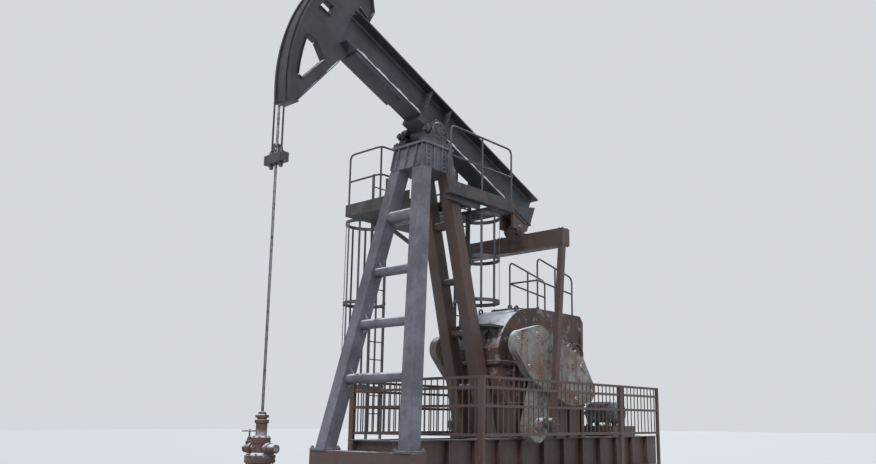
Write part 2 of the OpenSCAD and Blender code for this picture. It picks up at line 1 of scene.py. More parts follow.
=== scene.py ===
import json
from math import asin, atan2, copysign, cos, hypot, pi, radians, sin, tau

import bmesh
import bpy
from mathutils import Matrix, Vector


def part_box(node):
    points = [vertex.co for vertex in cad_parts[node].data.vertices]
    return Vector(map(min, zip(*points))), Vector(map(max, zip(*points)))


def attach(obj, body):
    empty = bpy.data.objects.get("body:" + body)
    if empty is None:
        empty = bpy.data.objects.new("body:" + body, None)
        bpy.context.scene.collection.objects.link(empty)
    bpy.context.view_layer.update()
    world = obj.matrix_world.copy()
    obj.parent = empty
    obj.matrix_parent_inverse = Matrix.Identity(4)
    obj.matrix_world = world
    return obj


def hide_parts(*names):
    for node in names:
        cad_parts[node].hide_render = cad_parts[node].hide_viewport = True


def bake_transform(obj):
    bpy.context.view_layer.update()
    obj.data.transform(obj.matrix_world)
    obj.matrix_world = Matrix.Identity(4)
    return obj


bl_info = {
    "name": "Pumpjack",
    "version": (1, 0, 0),
    "blender": (4, 5, 0),
    "location": "View3D > Sidebar > Pumpjack",
    "description": "Dresses the pumpjack's solids with finishes, bolts, ropes and fittings",
    "category": "Object",
}

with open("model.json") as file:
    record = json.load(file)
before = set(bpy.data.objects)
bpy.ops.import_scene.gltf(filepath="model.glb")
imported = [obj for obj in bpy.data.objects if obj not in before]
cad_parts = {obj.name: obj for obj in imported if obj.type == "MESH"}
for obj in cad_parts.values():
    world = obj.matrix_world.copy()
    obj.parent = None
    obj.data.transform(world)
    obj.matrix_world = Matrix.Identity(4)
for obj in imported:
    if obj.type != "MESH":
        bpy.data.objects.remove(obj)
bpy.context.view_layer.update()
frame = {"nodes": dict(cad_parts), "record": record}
NODES = frame["nodes"]
MM = 0.001
X, Y, Z = Vector((1, 0, 0)), Vector((0, 1, 0)), Vector((0, 0, 1))
# Heights of the bearings' bases and the platform's deck, and where the belts begin across the machine
BEARING_BASE = 6.0903
DECK_TOP = 5.3003
BELT_SIDE = 0.60


def linear(code):
    """An sRGB hex colour as the linear values that the shaders work in."""
    part = [int(code[i:i + 2], 16) / 255 for i in (1, 3, 5)]
    return tuple([c / 12.92 if c <= 0.04045 else ((c + 0.055) / 1.055) ** 2.4 for c in part] + [1.0])


class PumpjackSizes(bpy.types.PropertyGroup):
    """Sizes of the fittings"""
    pivot_height: bpy.props.FloatProperty(
        name="Rocking axis", description="Height of the axis on which the beam rocks", default=6.25,
        unit="LENGTH")
    beam_tilt: bpy.props.FloatProperty(
        name="Beam tilt", description="Slope of the beam at rest", default=radians(23), subtype="ANGLE")
    crank_lean: bpy.props.FloatProperty(
        name="Crank lean", description="Angle of the cranks before their lowest point", default=radians(20),
        subtype="ANGLE")
    crank_throw: bpy.props.FloatProperty(
        name="Crank throw", description="Distance from the crankshaft to the wrist pins", default=1.0727,
        unit="LENGTH")
    bolt: bpy.props.FloatProperty(
        name="Bolt", description="Width of a large bolt's head", default=0.046, unit="LENGTH")
    rail: bpy.props.FloatProperty(
        name="Rail", description="Diameter of the railings' tubes", default=0.034, unit="LENGTH")
    rail_bend: bpy.props.FloatProperty(
        name="Rail bend", description="Radius of the railings' bends", default=0.11, unit="LENGTH")
    belts: bpy.props.IntProperty(name="Belts", description="Number of belts side by side", default=4, min=1,
                                 max=4)


class PumpjackColours(bpy.types.PropertyGroup):
    """Colours of the finishes, as sRGB hex values"""
    grey_enamel: bpy.props.StringProperty(
        name="Grey enamel", description="Paint of the tower", default="#4b4c55")
    beam_enamel: bpy.props.StringProperty(
        name="Beam enamel", description="Paint of the beam and head", default="#25262c")
    pale_enamel: bpy.props.StringProperty(
        name="Pale enamel", description="Paint of the cranks and counterweights", default="#82827f")
    oxide_primer: bpy.props.StringProperty(
        name="Oxide primer", description="Paint of the rear legs, base, fence and linkage", default="#46352e")
    dark_enamel: bpy.props.StringProperty(
        name="Dark enamel", description="Paint of ladders, platforms and rails", default="#303136")
    rust: bpy.props.StringProperty(
        name="Rust", description="Rust that shows through the paint", default="#62402b")
    frost: bpy.props.StringProperty(
        name="Frost", description="Frost and blown snow on upper faces", default="#c6ccd4")
    concrete: bpy.props.StringProperty(
        name="Concrete", description="Concrete of the foundation", default="#85817b")


def sizes():
    """The sizes that the panel shows."""
    return bpy.context.scene.pumpjack_sizes


def colours():
    """The colours that the panel shows."""
    return bpy.context.scene.pumpjack_colours


# Materials

def add_node(tree, kind, inputs=(), out=0, **settings):
    """Adds a shader node with its settings and gives one of its outputs.

    inputs go by name or number: a socket is linked, a hex colour is made linear, and a value is set.
    """
    made = tree.nodes.new("ShaderNode" + kind)
    for key, value in settings.items():
        setattr(made, key, value)
    for key, value in dict(inputs).items():
        if isinstance(value, bpy.types.NodeSocket):
            tree.links.new(value, made.inputs[key])
        else:
            made.inputs[key].default_value = linear(value) if isinstance(value, str) else value
    return made.outputs[out] if made.outputs else None


def new_finish(name):
    """An empty finish, its node tree, and the place on the object that its patterns start from."""
    finish = bpy.data.materials.new(name)
    finish.use_nodes = True
    tree = finish.node_tree
    tree.nodes.clear()
    return finish, tree, add_node(tree, "TexCoord", out="Object")


def patches(tree, vector, size_mm, low, high, detail=3.0, roughness=0.6):
    """A noise of about that size, cut to a soft mask between two levels."""
    grain = add_node(tree, "TexNoise", {
        "Vector": vector, "Scale": 1000.0 / size_mm, "Detail": detail, "Roughness": roughness}, "Fac")
    return add_node(tree, "MapRange", {"Value": grain, "From Min": low, "From Max": high},
                    interpolation_type="SMOOTHSTEP")


def facing_up(tree, low, high):
    """A mask of the faces that look up, from one slope to another."""
    facing = add_node(tree, "SeparateXYZ", {0: add_node(tree, "TexCoord", out="Normal")}, 2)
    return add_node(tree, "MapRange", {"Value": facing, "From Min": low, "From Max": high},
                    interpolation_type="SMOOTHSTEP")


def combined(tree, operation, mask, *others):
    """One mask made of several, each worked into those before it."""
    for other in others:
        mask = add_node(tree, "Math", {0: mask, 1: other}, operation=operation)
    return mask


def overlaid(tree, colour, over, *masks):
    """Lays a second colour over the first, as strongly as the product of its masks."""
    return add_node(tree, "Mix", {0: combined(tree, "MULTIPLY", *masks), 6: colour, 7: over}, 2,
                    data_type="RGBA")


def closed_finish(finish, tree, colour, roughness, height, bump_mm, metallic=0.0):
    """Ends a finish with its bump and shader."""
    bump = add_node(tree, "Bump", {"Height": height, "Distance": bump_mm * MM, "Strength": 0.7})
    shader = add_node(tree, "BsdfPrincipled", {
        "Base Color": colour, "Roughness": roughness, "Metallic": metallic, "Normal": bump})
    add_node(tree, "OutputMaterial", {"Surface": shader})
    return finish


def brushed_enamel(name, paint, faded, rusting, frosting):
    """Alkyd enamel brushed on rolled steel: dull, faded, with rust runs, and frost on what faces up."""
    finish, tree, at = new_finish(name)
    # Faded patches about 500 mm across, and a finer mottle of 60 mm
    colour = overlaid(tree, paint, faded, patches(tree, at, 500, 0.34, 0.7))
    colour = overlaid(tree, colour, "#2c2a2b", patches(tree, at, 60, 0.35, 0.72, 5.0, 0.7), 0.35)
    # Rust: scabs of 110 mm, pits of 24 mm, and runs drawn out down the plates
    runs = add_node(tree, "Mapping", {"Vector": at, "Scale": (9.0, 9.0, 0.9)})
    streak = patches(tree, runs, 900, 0.5, 0.72, 4.0)
    scab = patches(tree, at, 110, 0.70 - rusting * 0.24, 0.80 - rusting * 0.2, 6.0, 0.7)
    thin = combined(tree, "MAXIMUM", streak, patches(tree, at, 24, 0.6, 0.7, 4.0, 0.7))
    rust = combined(tree, "MAXIMUM", scab, combined(tree, "MULTIPLY", thin, rusting))
    rust_tone = overlaid(tree, colours().rust, "#3a261c", patches(tree, at, 45, 0.3, 0.75, 5.0, 0.7))
    colour = overlaid(tree, colour, rust_tone, rust, 0.8)
    # Frost lies where the surface faces up, in drifts about 260 mm long, and thinly on what is steep
    drift = patches(tree, at, 260, 0.62 - 0.34 * frosting, 0.74 - 0.34 * frosting, 6.0, 0.62)
    drift = combined(tree, "MULTIPLY", facing_up(tree, 0.45, 0.8), drift)
    rime = patches(tree, at, 90, 0.5, 0.8, 6.0, 0.7)
    frost = combined(tree, "MAXIMUM", drift,
                     combined(tree, "MULTIPLY", facing_up(tree, -0.1, 0.5), rime, 0.25))
    colour = overlaid(tree, colour, colours().frost, frost)
    rough = add_node(tree, "MapRange", {"Value": rust, "To Min": 0.46, "To Max": 0.88})
    rough = combined(tree, "MAXIMUM", rough, combined(tree, "MULTIPLY", frost, 0.85))
    # Brush marks and scale, drawn at 14 mm so that they show
    grain = add_node(tree, "TexNoise", {"Vector": at, "Scale": 70.0, "Detail": 4.0}, "Fac")
    height = combined(tree, "ADD", grain, combined(tree, "MULTIPLY", rust, 0.6), frost)
    return closed_finish(finish, tree, colour, rough, height, 2.5)


def chequer_plate(paint):
    """Painted chequer plate: rolled bars 30 mm apart in two directions, worn bright on top, with frost."""
    finish, tree, at = new_finish("painted chequer plate")
    bars = []
    for turn in (0.785, -0.785):
        slant = add_node(tree, "Mapping", {"Vector": at, "Rotation": (0.0, 0.0, turn)})
        wave = add_node(tree, "TexWave", {"Vector": slant, "Scale": 10.5}, "Fac", bands_direction="X")
        cross = add_node(tree, "TexWave", {"Vector": slant, "Scale": 5.2, "Phase Offset": turn}, "Fac",
                         bands_direction="Y")
        both = combined(tree, "MULTIPLY", wave, cross)
        bars.append(add_node(tree, "MapRange", {"Value": both, "From Min": 0.45, "From Max": 0.6}))
    raised = combined(tree, "MULTIPLY", combined(tree, "MAXIMUM", *bars), facing_up(tree, 0.5, 0.9))
    colour = overlaid(tree, paint, "#4a4644", patches(tree, at, 300, 0.35, 0.7, 5.0))
    colour = overlaid(tree, colour, "#6f6e70", raised, 0.35)
    colour = overlaid(tree, colour, colours().rust, patches(tree, at, 120, 0.58, 0.7, 6.0, 0.7))
    frost = combined(tree, "MULTIPLY", facing_up(tree, 0.5, 0.9),
                     patches(tree, at, 420, 0.42, 0.6, 6.0, 0.62))
    colour = overlaid(tree, colour, colours().frost, frost, 0.9)
    return closed_finish(finish, tree, colour, 0.72, combined(tree, "ADD", raised, frost), 4.0)


def sand_cast_iron():
    """Cast iron from a sand mould, primed and rusted: pebbly, dull, streaked with oil and frost."""
    finish, tree, at = new_finish("primed sand cast iron")
    runs = add_node(tree, "Mapping", {"Vector": at, "Scale": (8.0, 8.0, 1.0)})
    oil = patches(tree, runs, 1000, 0.52, 0.7, 4.0)
    colour = overlaid(tree, "#543a2f", "#38302e", patches(tree, at, 320, 0.3, 0.72, 5.0, 0.65))
    colour = overlaid(tree, colour, "#241b17", oil)
    colour = overlaid(tree, colour, colours().rust, patches(tree, at, 90, 0.58, 0.7, 6.0, 0.7), 0.6)
    # Frost in drifts about 300 mm long on top, and patches of 140 mm on what is steep
    drift = combined(tree, "MULTIPLY", facing_up(tree, 0.1, 0.75),
                     patches(tree, at, 300, 0.365, 0.485, 6.0, 0.65))
    rime = patches(tree, at, 140, 0.52, 0.66, 7.0, 0.75)
    frost = combined(tree, "MAXIMUM", drift,
                     combined(tree, "MULTIPLY", facing_up(tree, -0.5, 0.6), rime, 0.55))
    colour = overlaid(tree, colour, colours().frost, frost)
    rough = add_node(tree, "MapRange", {"Value": oil, "To Min": 0.82, "To Max": 0.42})
    # Sand grain of the mould, drawn at 10 mm so that it shows
    grain = add_node(tree, "TexNoise", {"Vector": at, "Scale": 100.0, "Detail": 5.0}, "Fac")
    return closed_finish(finish, tree, colour, rough, combined(tree, "ADD", grain, frost), 3.5)


def board_cast_concrete():
    """Concrete cast against boards: pale grey, blotched, with board lines 180 mm apart and frost on top."""
    finish, tree, at = new_finish("board cast concrete")
    grit = patches(tree, at, 30, 0.35, 0.7, 5.0, 0.75)
    colour = overlaid(tree, colours().concrete, "#6f6a63", patches(tree, at, 700, 0.3, 0.7, 6.0, 0.65))
    colour = overlaid(tree, colour, "#a5a19a", grit, 0.35)
    boards = add_node(tree, "TexWave", {
        "Vector": at, "Scale": 1.75, "Distortion": 0.4, "Detail": 2.0, "Detail Scale": 3.0}, "Fac",
        bands_direction="Z", wave_profile="SAW")
    line = add_node(tree, "MapRange", {"Value": boards, "From Min": 0.93, "From Max": 1.0})
    colour = overlaid(tree, colour, "#4e4a45", line, 0.6)
    frost = combined(tree, "MULTIPLY", facing_up(tree, 0.4, 0.9), patches(tree, at, 500, 0.3, 0.5, 6.0, 0.6))
    colour = overlaid(tree, colour, colours().frost, frost)
    return closed_finish(finish, tree, colour, 0.92, combined(tree, "SUBTRACT", grit, line), 3.0)


def laid_wire_rope():
    """Greased steel wire rope: dark, with strands that run slantwise, drawn 24 mm apart so that they show."""
    finish, tree, at = new_finish("laid wire rope")
    slant = add_node(tree, "Mapping", {"Vector": at, "Rotation": (0.6, 0.6, 0.0)})
    lay = add_node(tree, "TexWave", {"Vector": slant, "Scale": 13.0, "Distortion": 0.3}, "Fac",
                   bands_direction="Z")
    colour = overlaid(tree, "#141416", "#2e2e32", lay)
    colour = overlaid(tree, colour, "#2a2320", patches(tree, at, 60, 0.4, 0.7), 0.6)
    return closed_finish(finish, tree, colour, 0.62, lay, 1.5)


def ground_bar():
    """Ground and polished steel bar: bright, with fine turning marks round it."""
    finish, tree, at = new_finish("ground steel bar")
    marks = add_node(tree, "TexWave", {"Vector": at, "Scale": 40.0, "Distortion": 1.0}, "Fac",
                     bands_direction="Z")
    oil = patches(tree, at, 80, 0.4, 0.75, 4.0)
    roughness = add_node(tree, "MapRange", {"Value": oil, "To Min": 0.3, "To Max": 0.55})
    return closed_finish(finish, tree, overlaid(tree, "#6a6c70", "#3a3632", oil), roughness, marks, 0.4, 1.0)


def packed_frost():
    """Frost and blown snow packed on a ledge: matt, bluish white, lumpy at 40 mm."""
    finish, tree, at = new_finish("packed frost")
    lumps = patches(tree, at, 40, 0.3, 0.7, 5.0, 0.7)
    return closed_finish(finish, tree, overlaid(tree, "#aab2bd", colours().frost, lumps), 0.95, lumps, 6.0)


def belt_rubber():
    """Cloth-faced rubber belts: matt black, dusty."""
    finish, tree, at = new_finish("cloth faced rubber")
    weave = add_node(tree, "TexNoise", {"Vector": at, "Scale": 250.0, "Detail": 2.0}, "Fac")
    colour = overlaid(tree, "#1b1b1c", "#3c3833", patches(tree, at, 120, 0.4, 0.75, 5.0))
    return closed_finish(finish, tree, colour, 0.85, weave, 1.0)


def give(obj, finish):
    """Gives an object this finish alone."""
    obj.data.materials.clear()
    obj.data.materials.append(finish)


class PUMPJACK_OT_finishes(bpy.types.Operator):
    """Gives every solid its finish"""
    bl_idname = "pumpjack.finishes"
    bl_label = "Finishes"

    def execute(self, context):
        c = colours()
        made = {
            "grey_paint": brushed_enamel("grey enamel on steel", c.grey_enamel, "#666872", 0.18, 0.75),
            "pale_paint": brushed_enamel("pale enamel on cast weight", c.pale_enamel, "#66564c", 0.8, 0.9),
            "rusty_steel": brushed_enamel("oxide primer on steel", c.oxide_primer, "#463c39", 0.55, 0.6),
            "dark_steel": brushed_enamel("dark enamel on steel", c.dark_enamel, "#43434a", 0.2, 0.5),
            "motor_paint": brushed_enamel("grey enamel on motor", "#4b4d4f", "#5b5e60", 0.3, 0.5),
            "rusty_iron": sand_cast_iron(),
            "concrete": board_cast_concrete(),
            "wire_rope": laid_wire_rope(),
            "bright_steel": ground_bar(),
            "belt_rubber": belt_rubber(),
        }
        slots = {s["node"]: s["material_slot"] for s in frame["record"]["subparts"]}
        for name, obj in NODES.items():
            give(obj, made[slots[name]])
        made["beam_paint"] = brushed_enamel("dark grey enamel on beam", c.beam_enamel, "#383a42", 0.16, 0.75)
        for slot, finish in made.items():
            finish["slot"] = slot
        deck = chequer_plate(c.dark_enamel)
        for name in ("platform_deck", "gearbox_landing", "gearbox_deck"):
            give(NODES[name], deck)
        return {"FINISHED"}


def finish_of(slot):
    """The finish that a slot was given."""
    return next(m for m in bpy.data.materials if m.get("slot") == slot)


# Shapes

def shift(x, y, z):
    """A move without a turn."""
    return Matrix.Translation((x, y, z))


def turned_to(point, axis):
    """The place of a shape whose own Z runs along axis."""
    return Matrix.Translation(point) @ Vector(axis).to_track_quat("Z", "Y").to_matrix().to_4x4()


def beam_place():
    """The beam's own frame: its origin on the rocking axis, its X along the beam."""
    return shift(0, 0, sizes().pivot_height) @ Matrix.Rotation(sizes().beam_tilt, 4, "Y")


def block(bm, size, place, edge=0.0):
    """A box round its place, with rounded edges if edge is given."""
    made = bmesh.ops.create_cube(bm, size=1.0)["verts"]
    bmesh.ops.scale(bm, vec=size, verts=made)
    if edge:
        rim = list({e for v in made for e in v.link_edges})
        bevelled = bmesh.ops.bevel(bm, geom=rim, offset=edge, affect="EDGES", segments=2, profile=0.5,
                                   material=-1)
        made = list({v for f in bevelled["faces"] for v in f.verts} | {v for v in made if v.is_valid})
        made = connected(made)
    bmesh.ops.transform(bm, matrix=place, verts=made)
    return made


def connected(verts):
    """All the points that hang together with these."""
    found, todo = set(verts), list(verts)
    while todo:
        for edge in todo.pop().link_edges:
            for v in edge.verts:
                if v not in found:
                    found.add(v)
                    todo.append(v)
    return list(found)


def disc(bm, radius, height, place, sides=24, top=None):
    """A disc that stands on its place, or a cone with another radius on top."""
    made = bmesh.ops.create_cone(
        bm, cap_ends=True, segments=sides, radius1=radius, radius2=radius if top is None else top,
        depth=height)["verts"]
    bmesh.ops.transform(bm, matrix=place @ shift(0, 0, height / 2), verts=made)
    return made


def bolt(bm, point, axis, share=1.0):
    """A washer, a six-sided nut and the bolt's end, as a share of the large bolt's size."""
    width = sizes().bolt * share
    place = turned_to(point, axis)
    disc(bm, width * 0.72, width * 0.12, place, 12)
    disc(bm, width * 0.56, width * 0.62, place, 6)
    disc(bm, width * 0.28, width * 0.85, place, 8)


def bolt_grid(bm, xs, ys, z, axis, share=1.0):
    """Bolts on one level, where these rows cross."""
    for x in xs:
        for y in ys:
            bolt(bm, (x, y, z), axis, share)


def ring_of_bolts(bm, centre, axis, radius, count, share, start=0.0):
    """Bolts spread round a circle."""
    place = turned_to(centre, axis)
    for i in range(count):
        a = start + tau * i / count
        bolt(bm, place @ Vector((radius * cos(a), radius * sin(a), 0)), axis, share)


def turned(bm, profile, place, steps=32):
    """A profile of (radius, height) points spun round its own Z."""
    verts = [bm.verts.new((r, 0, h)) for r, h in profile]
    edges = [bm.edges.new(pair) for pair in zip(verts, verts[1:])]
    bmesh.ops.spin(bm, geom=verts + edges, cent=(0, 0, 0), axis=(0, 0, 1), angle=tau, steps=steps,
                   use_merge=True)
    found = connected(verts)
    bmesh.ops.remove_doubles(bm, verts=found, dist=1e-6)
    found = connected([v for v in found if v.is_valid])
    bmesh.ops.transform(bm, matrix=place, verts=found)
    return found


def plate(bm, outline, thickness, place):
    """A flat plate: its outline lies in X and Z, and it is as thick along Y on both sides of the middle."""
    verts = [bm.verts.new((x, -thickness / 2, z)) for x, z in outline]
    face = bm.faces.new(verts)
    made = bmesh.ops.extrude_face_region(bm, geom=[face])["geom"]
    moved = [v for v in made if isinstance(v, bmesh.types.BMVert)]
    bmesh.ops.translate(bm, vec=(0, thickness, 0), verts=moved)
    bmesh.ops.transform(bm, matrix=place, verts=verts + moved)
    return verts + moved


def rod(bm, a, b, diameter, sides=8):
    """A round bar from one point to another."""
    a, b = Vector(a), Vector(b)
    return disc(bm, diameter / 2, (b - a).length, turned_to(a, b - a), sides)


def piece(bm, name, slot, body, *replaced, finish=None):
    """Closes a mesh into an object that rides on a body, if one is named, and replaces the solids named.

    Another finish may stand in for its slot's.
    """
    bmesh.ops.recalc_face_normals(bm, faces=bm.faces)
    mesh = bpy.data.meshes.new(name)
    bm.to_mesh(mesh)
    bm.free()
    mesh.shade_smooth()
    mesh.set_sharp_from_angle(angle=radians(35))
    mesh.materials.append(finish_of(finish or slot))
    made = bpy.data.objects.new(name, mesh)
    bpy.context.scene.collection.objects.link(made)
    if body:
        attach(made, body)
    if replaced:
        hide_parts(*replaced)
    return made


def box_of(node):
    """Lowest corner, highest corner and middle of a solid."""
    low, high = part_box(node)
    return low, high, (low + high) / 2


def strip(bm, a, b, width, thickness, place):
    """A flat bar along its length from a to b in X and Z, width across and thickness in its own plane."""
    a, b = Vector((a[0], 0, a[1])), Vector((b[0], 0, b[1]))
    run = b - a
    turn = Matrix.Rotation(-atan2(run.z, run.x), 4, "Y")
    return block(bm, (run.length, width, thickness), place @ Matrix.Translation((a + b) / 2) @ turn,
                 thickness * 0.2)


def lobe(sign, x, z, radius):
    """Round end of a weight, as a half circle that leans outward."""
    turns = range(-62, 63, 12) if sign > 0 else range(118, 243, 12)
    return [(sign * x + radius * cos(radians(t)), z + radius * sin(radians(t))) for t in turns]


def crank_place():
    """The crank's own frame: its X runs across the crank, its Z from the shaft to the wrist pin."""
    shaft = box_of("crankshaft")[2]
    return shift(shaft.x, 0, shaft.z) @ Matrix.Rotation(pi + sizes().crank_lean, 4, "Y")


def bent_tube(name, slot, body, runs, diameter, bend, *replaced):
    """Round tubes along runs of points, bent at their corners, as one piece."""
    line = bpy.data.curves.new(name, "CURVE")
    line.dimensions = "3D"
    line.bevel_depth = diameter / 2
    line.bevel_resolution = 3
    line.use_fill_caps = True
    for run in runs:
        points = [Vector(p) for p in run]
        path = [points[0]]
        for before, corner, after in zip(points, points[1:], points[2:]):
            near = min(bend, (before - corner).length * 0.45, (after - corner).length * 0.45)
            start = corner + (before - corner).normalized() * near
            end = corner + (after - corner).normalized() * near
            for i in range(7):
                t = i / 6
                path.append(start * (1 - t) ** 2 + corner * 2 * t * (1 - t) + end * t ** 2)
        path.append(points[-1])
        spline = line.splines.new("POLY")
        spline.points.add(len(path) - 1)
        for point, place in zip(spline.points, path):
            point.co = (*place, 1)
    drawn = bpy.data.objects.new(name + "_line", line)
    bpy.context.scene.collection.objects.link(drawn)
    bpy.context.view_layer.update()
    mesh = bpy.data.meshes.new_from_object(drawn.evaluated_get(bpy.context.evaluated_depsgraph_get()))
    bpy.data.objects.remove(drawn)
    bpy.data.curves.remove(line)
    bm = bmesh.new()
    bm.from_mesh(mesh)
    bpy.data.meshes.remove(mesh)
    piece(bm, name, slot, body, *replaced)


class PUMPJACK_OT_rocking_beam(bpy.types.Operator):
    """Rolled beam with its cover plate, stiffeners, end gussets and bolts"""
    bl_idname = "pumpjack.rocking_beam"
    bl_label = "Rocking beam"

    def execute(self, context):
        place = beam_place()
        along = place @ Matrix.Rotation(radians(90), 4, "Z")
        width, low, high, front, rear = 0.37, 0.13, 0.73, -2.04, 2.89
        flange, web, root = 0.026, 0.011, 0.02
        bm = bmesh.new()
        right = [(width / 2, low), (width / 2, low + flange), (web + root, low + flange),
                 (web, low + flange + root),
                 (web, high - flange - root), (web + root, high - flange), (width / 2, high - flange),
                 (width / 2, high)]
        outline = right + [(-x, z) for x, z in reversed(right)]
        plate(bm, outline, rear - front, along @ shift(0, -(front + rear) / 2, 0))
        block(bm, (1.05, 0.358, 0.05), place @ shift(-1.275, 0, low - 0.024), 0.006)
        for x in (-0.25, 0.25):
            for side in (-1, 1):
                block(bm, (0.014, 0.164, high - low - 2 * flange + 0.002),
                      place @ shift(x, side * 0.092, (low + high) / 2), 0.002)
        # Sloping gussets at the rear end
        for side in (-1, 1):
            plate(bm, [(2.27, low + 0.02), (2.86, low + 0.4), (2.878, low + 0.4), (2.878, low + 0.02)], 0.165,
                  place @ shift(0, side * 0.088, 0))
        for side in (-1, 1):
            # Bolts through the lower flange: head, saddle and the bracket under the tail
            for x in (-1.98, -1.9, -0.29, -0.2, 0.2, 0.29, 2.17, 2.29, 2.5, 2.62, 2.72):
                bolt(bm, place @ Vector((x, side * 0.14, low + flange)), place.to_3x3() @ Z, 0.8)
            # Straps that tie the head to the upper flange
            block(bm, (0.42, 0.05, 0.016), place @ shift(-1.86, side * 0.12, high + 0.008), 0.003)
            for x in (-2.0, -1.9, -1.78, -1.7):
                bolt(bm, place @ Vector((x, side * 0.12, high + 0.016)), place.to_3x3() @ Z, 0.7)
        piece(bm, "rolled_beam", "grey_paint", "walking_beam", "walking_beam", finish="beam_paint")
        self.frost_on_flange(place, low + flange)
        return {"FINISHED"}

    def frost_on_flange(self, place, ledge):
        """Low ridges of frost that lie along the lower flange, on both sides of the web."""
        bm = bmesh.new()
        for side in (-1, 1):
            for start, end in ((-1.86, -0.3), (0.3, 2.1)):
                steps = 40
                crest = []
                for i in range(steps, -1, -1):
                    t = i / steps
                    height = 0.026 + 0.008 * sin(t * 23 + side) + 0.005 * sin(t * 61)
                    crest.append((start + (end - start) * t,
                                  ledge + height * min(1, 12 * t, 12 * (1 - t)) + 0.001))
                plate(bm, [(start, ledge), (end, ledge)] + crest, 0.15, place @ shift(0, side * 0.105, 0))
        made = piece(bm, "flange_frost", "grey_paint", "walking_beam")
        made.data.materials[0] = packed_frost()


def arc(radius, start, end, steps):
    """Points on the head's curve; the angles are in degrees above the beam's own level."""
    found = []
    for i in range(steps + 1):
        t = radians(start + (end - start) * i / steps)
        found.append((-radius * cos(t), radius * sin(t)))
    return found


class PUMPJACK_OT_horsehead(bpy.types.Operator):
    """Curved head: face plate, web with two openings, and flanges along its edges"""
    bl_idname = "pumpjack.horsehead"
    bl_label = "Horsehead"

    def execute(self, context):
        place = beam_place()
        bm = bmesh.new()
        # Face plate that the ropes lie on
        plate(bm, arc(2.7797, -29, 29, 48) + arc(2.757, 29, -29, 48), 0.32, place)
        # Web, drawn as three loops: its edge and the two openings
        low_cut, high_cut = -0.155, 0.372
        outline = [(-2.285, -1.267), (-1.943, -0.165), (-1.86, 0.0), (-1.86, 0.13), (-2.04, 0.13),
                   (-2.04, 0.73),
                   (-1.77, 0.73), (-1.75, 1.05), (-1.874, 1.243), (-2.36, 1.308)] + arc(2.76, 29, -29, 48)
        lower = [(-2.368, low_cut), (-2.146, -0.314), (-2.317, -0.835)] + arc(2.545, -19.2, -3.5, 12)
        upper = [(-2.376, high_cut), (-2.363, 0.55)] + arc(2.59, 12.3, 8.3, 3)
        edges = []
        for loop in (outline, lower, upper):
            verts = [bm.verts.new((x, -0.035, z)) for x, z in loop]
            edges += [bm.edges.new(pair) for pair in zip(verts, verts[1:] + verts[:1])]
        flat = bmesh.ops.triangle_fill(bm, edges=edges, use_beauty=True, use_dissolve=False)["geom"]
        faces = [f for f in flat if isinstance(f, bmesh.types.BMFace)]
        web = {v for f in faces for v in f.verts}
        grown = bmesh.ops.extrude_face_region(bm, geom=faces)["geom"]
        far = [v for v in grown if isinstance(v, bmesh.types.BMVert)]
        bmesh.ops.translate(bm, vec=(0, 0.07, 0), verts=far)
        bmesh.ops.transform(bm, matrix=place, verts=list(web | set(far)))
        # Flanges on the brace, the rear edge and round the openings
        for a, b, width in (
                ((-2.285, -1.262), (-1.945, -0.172), 0.17), ((-2.322, -0.838), (-2.15, -0.32), 0.13),
                ((-2.14, -0.311), (-2.362, -0.156), 0.13), ((-2.375, -0.155), (-2.535, -0.154), 0.13),
                ((-1.768, 0.74), (-1.751, 1.05), 0.17), ((-1.752, 1.056), (-1.872, 1.24), 0.17),
                ((-1.88, 1.244), (-2.36, 1.31), 0.17), ((-2.33, -0.842), (-2.4, -0.84), 0.13),
                ((-2.376, 0.372), (-2.363, 0.55), 0.12), ((-2.37, 0.372), (-2.563, 0.372), 0.12),
                ((-2.363, 0.55), (-2.53, 0.55), 0.12)):
            strip(bm, a, b, width, 0.014, place)
        rim = arc(2.551, -19, -3.7, 12)
        for a, b in zip(rim, rim[1:]):
            strip(bm, a, b, 0.13, 0.012, place)
        for end in (-29, 29):
            near, far = arc(2.6, end, end, 1)[0], arc(2.76, end, end, 1)[0]
            strip(bm, near, far, 0.31, 0.016, place)
        # Clamps that hold the ropes at the top of the face
        for side in (-1, 1):
            for angle in (24.6, 22.4):
                x, z = arc(2.787, angle, angle, 1)[0]
                clamp = place @ turned_to((x, side * 0.105, z), (x, 0, z))
                block(bm, (0.05, 0.075, 0.03), clamp, 0.005)
            # Latch bar above the beam
            block(bm, (0.19, 0.035, 0.035), place @ shift(-1.9, side * 0.055, 0.9)
                  @ Matrix.Rotation(0.3, 4, "Y"), 0.006)
        piece(bm, "curved_head", "grey_paint", "walking_beam", "horsehead", finish="beam_paint")
        return {"FINISHED"}


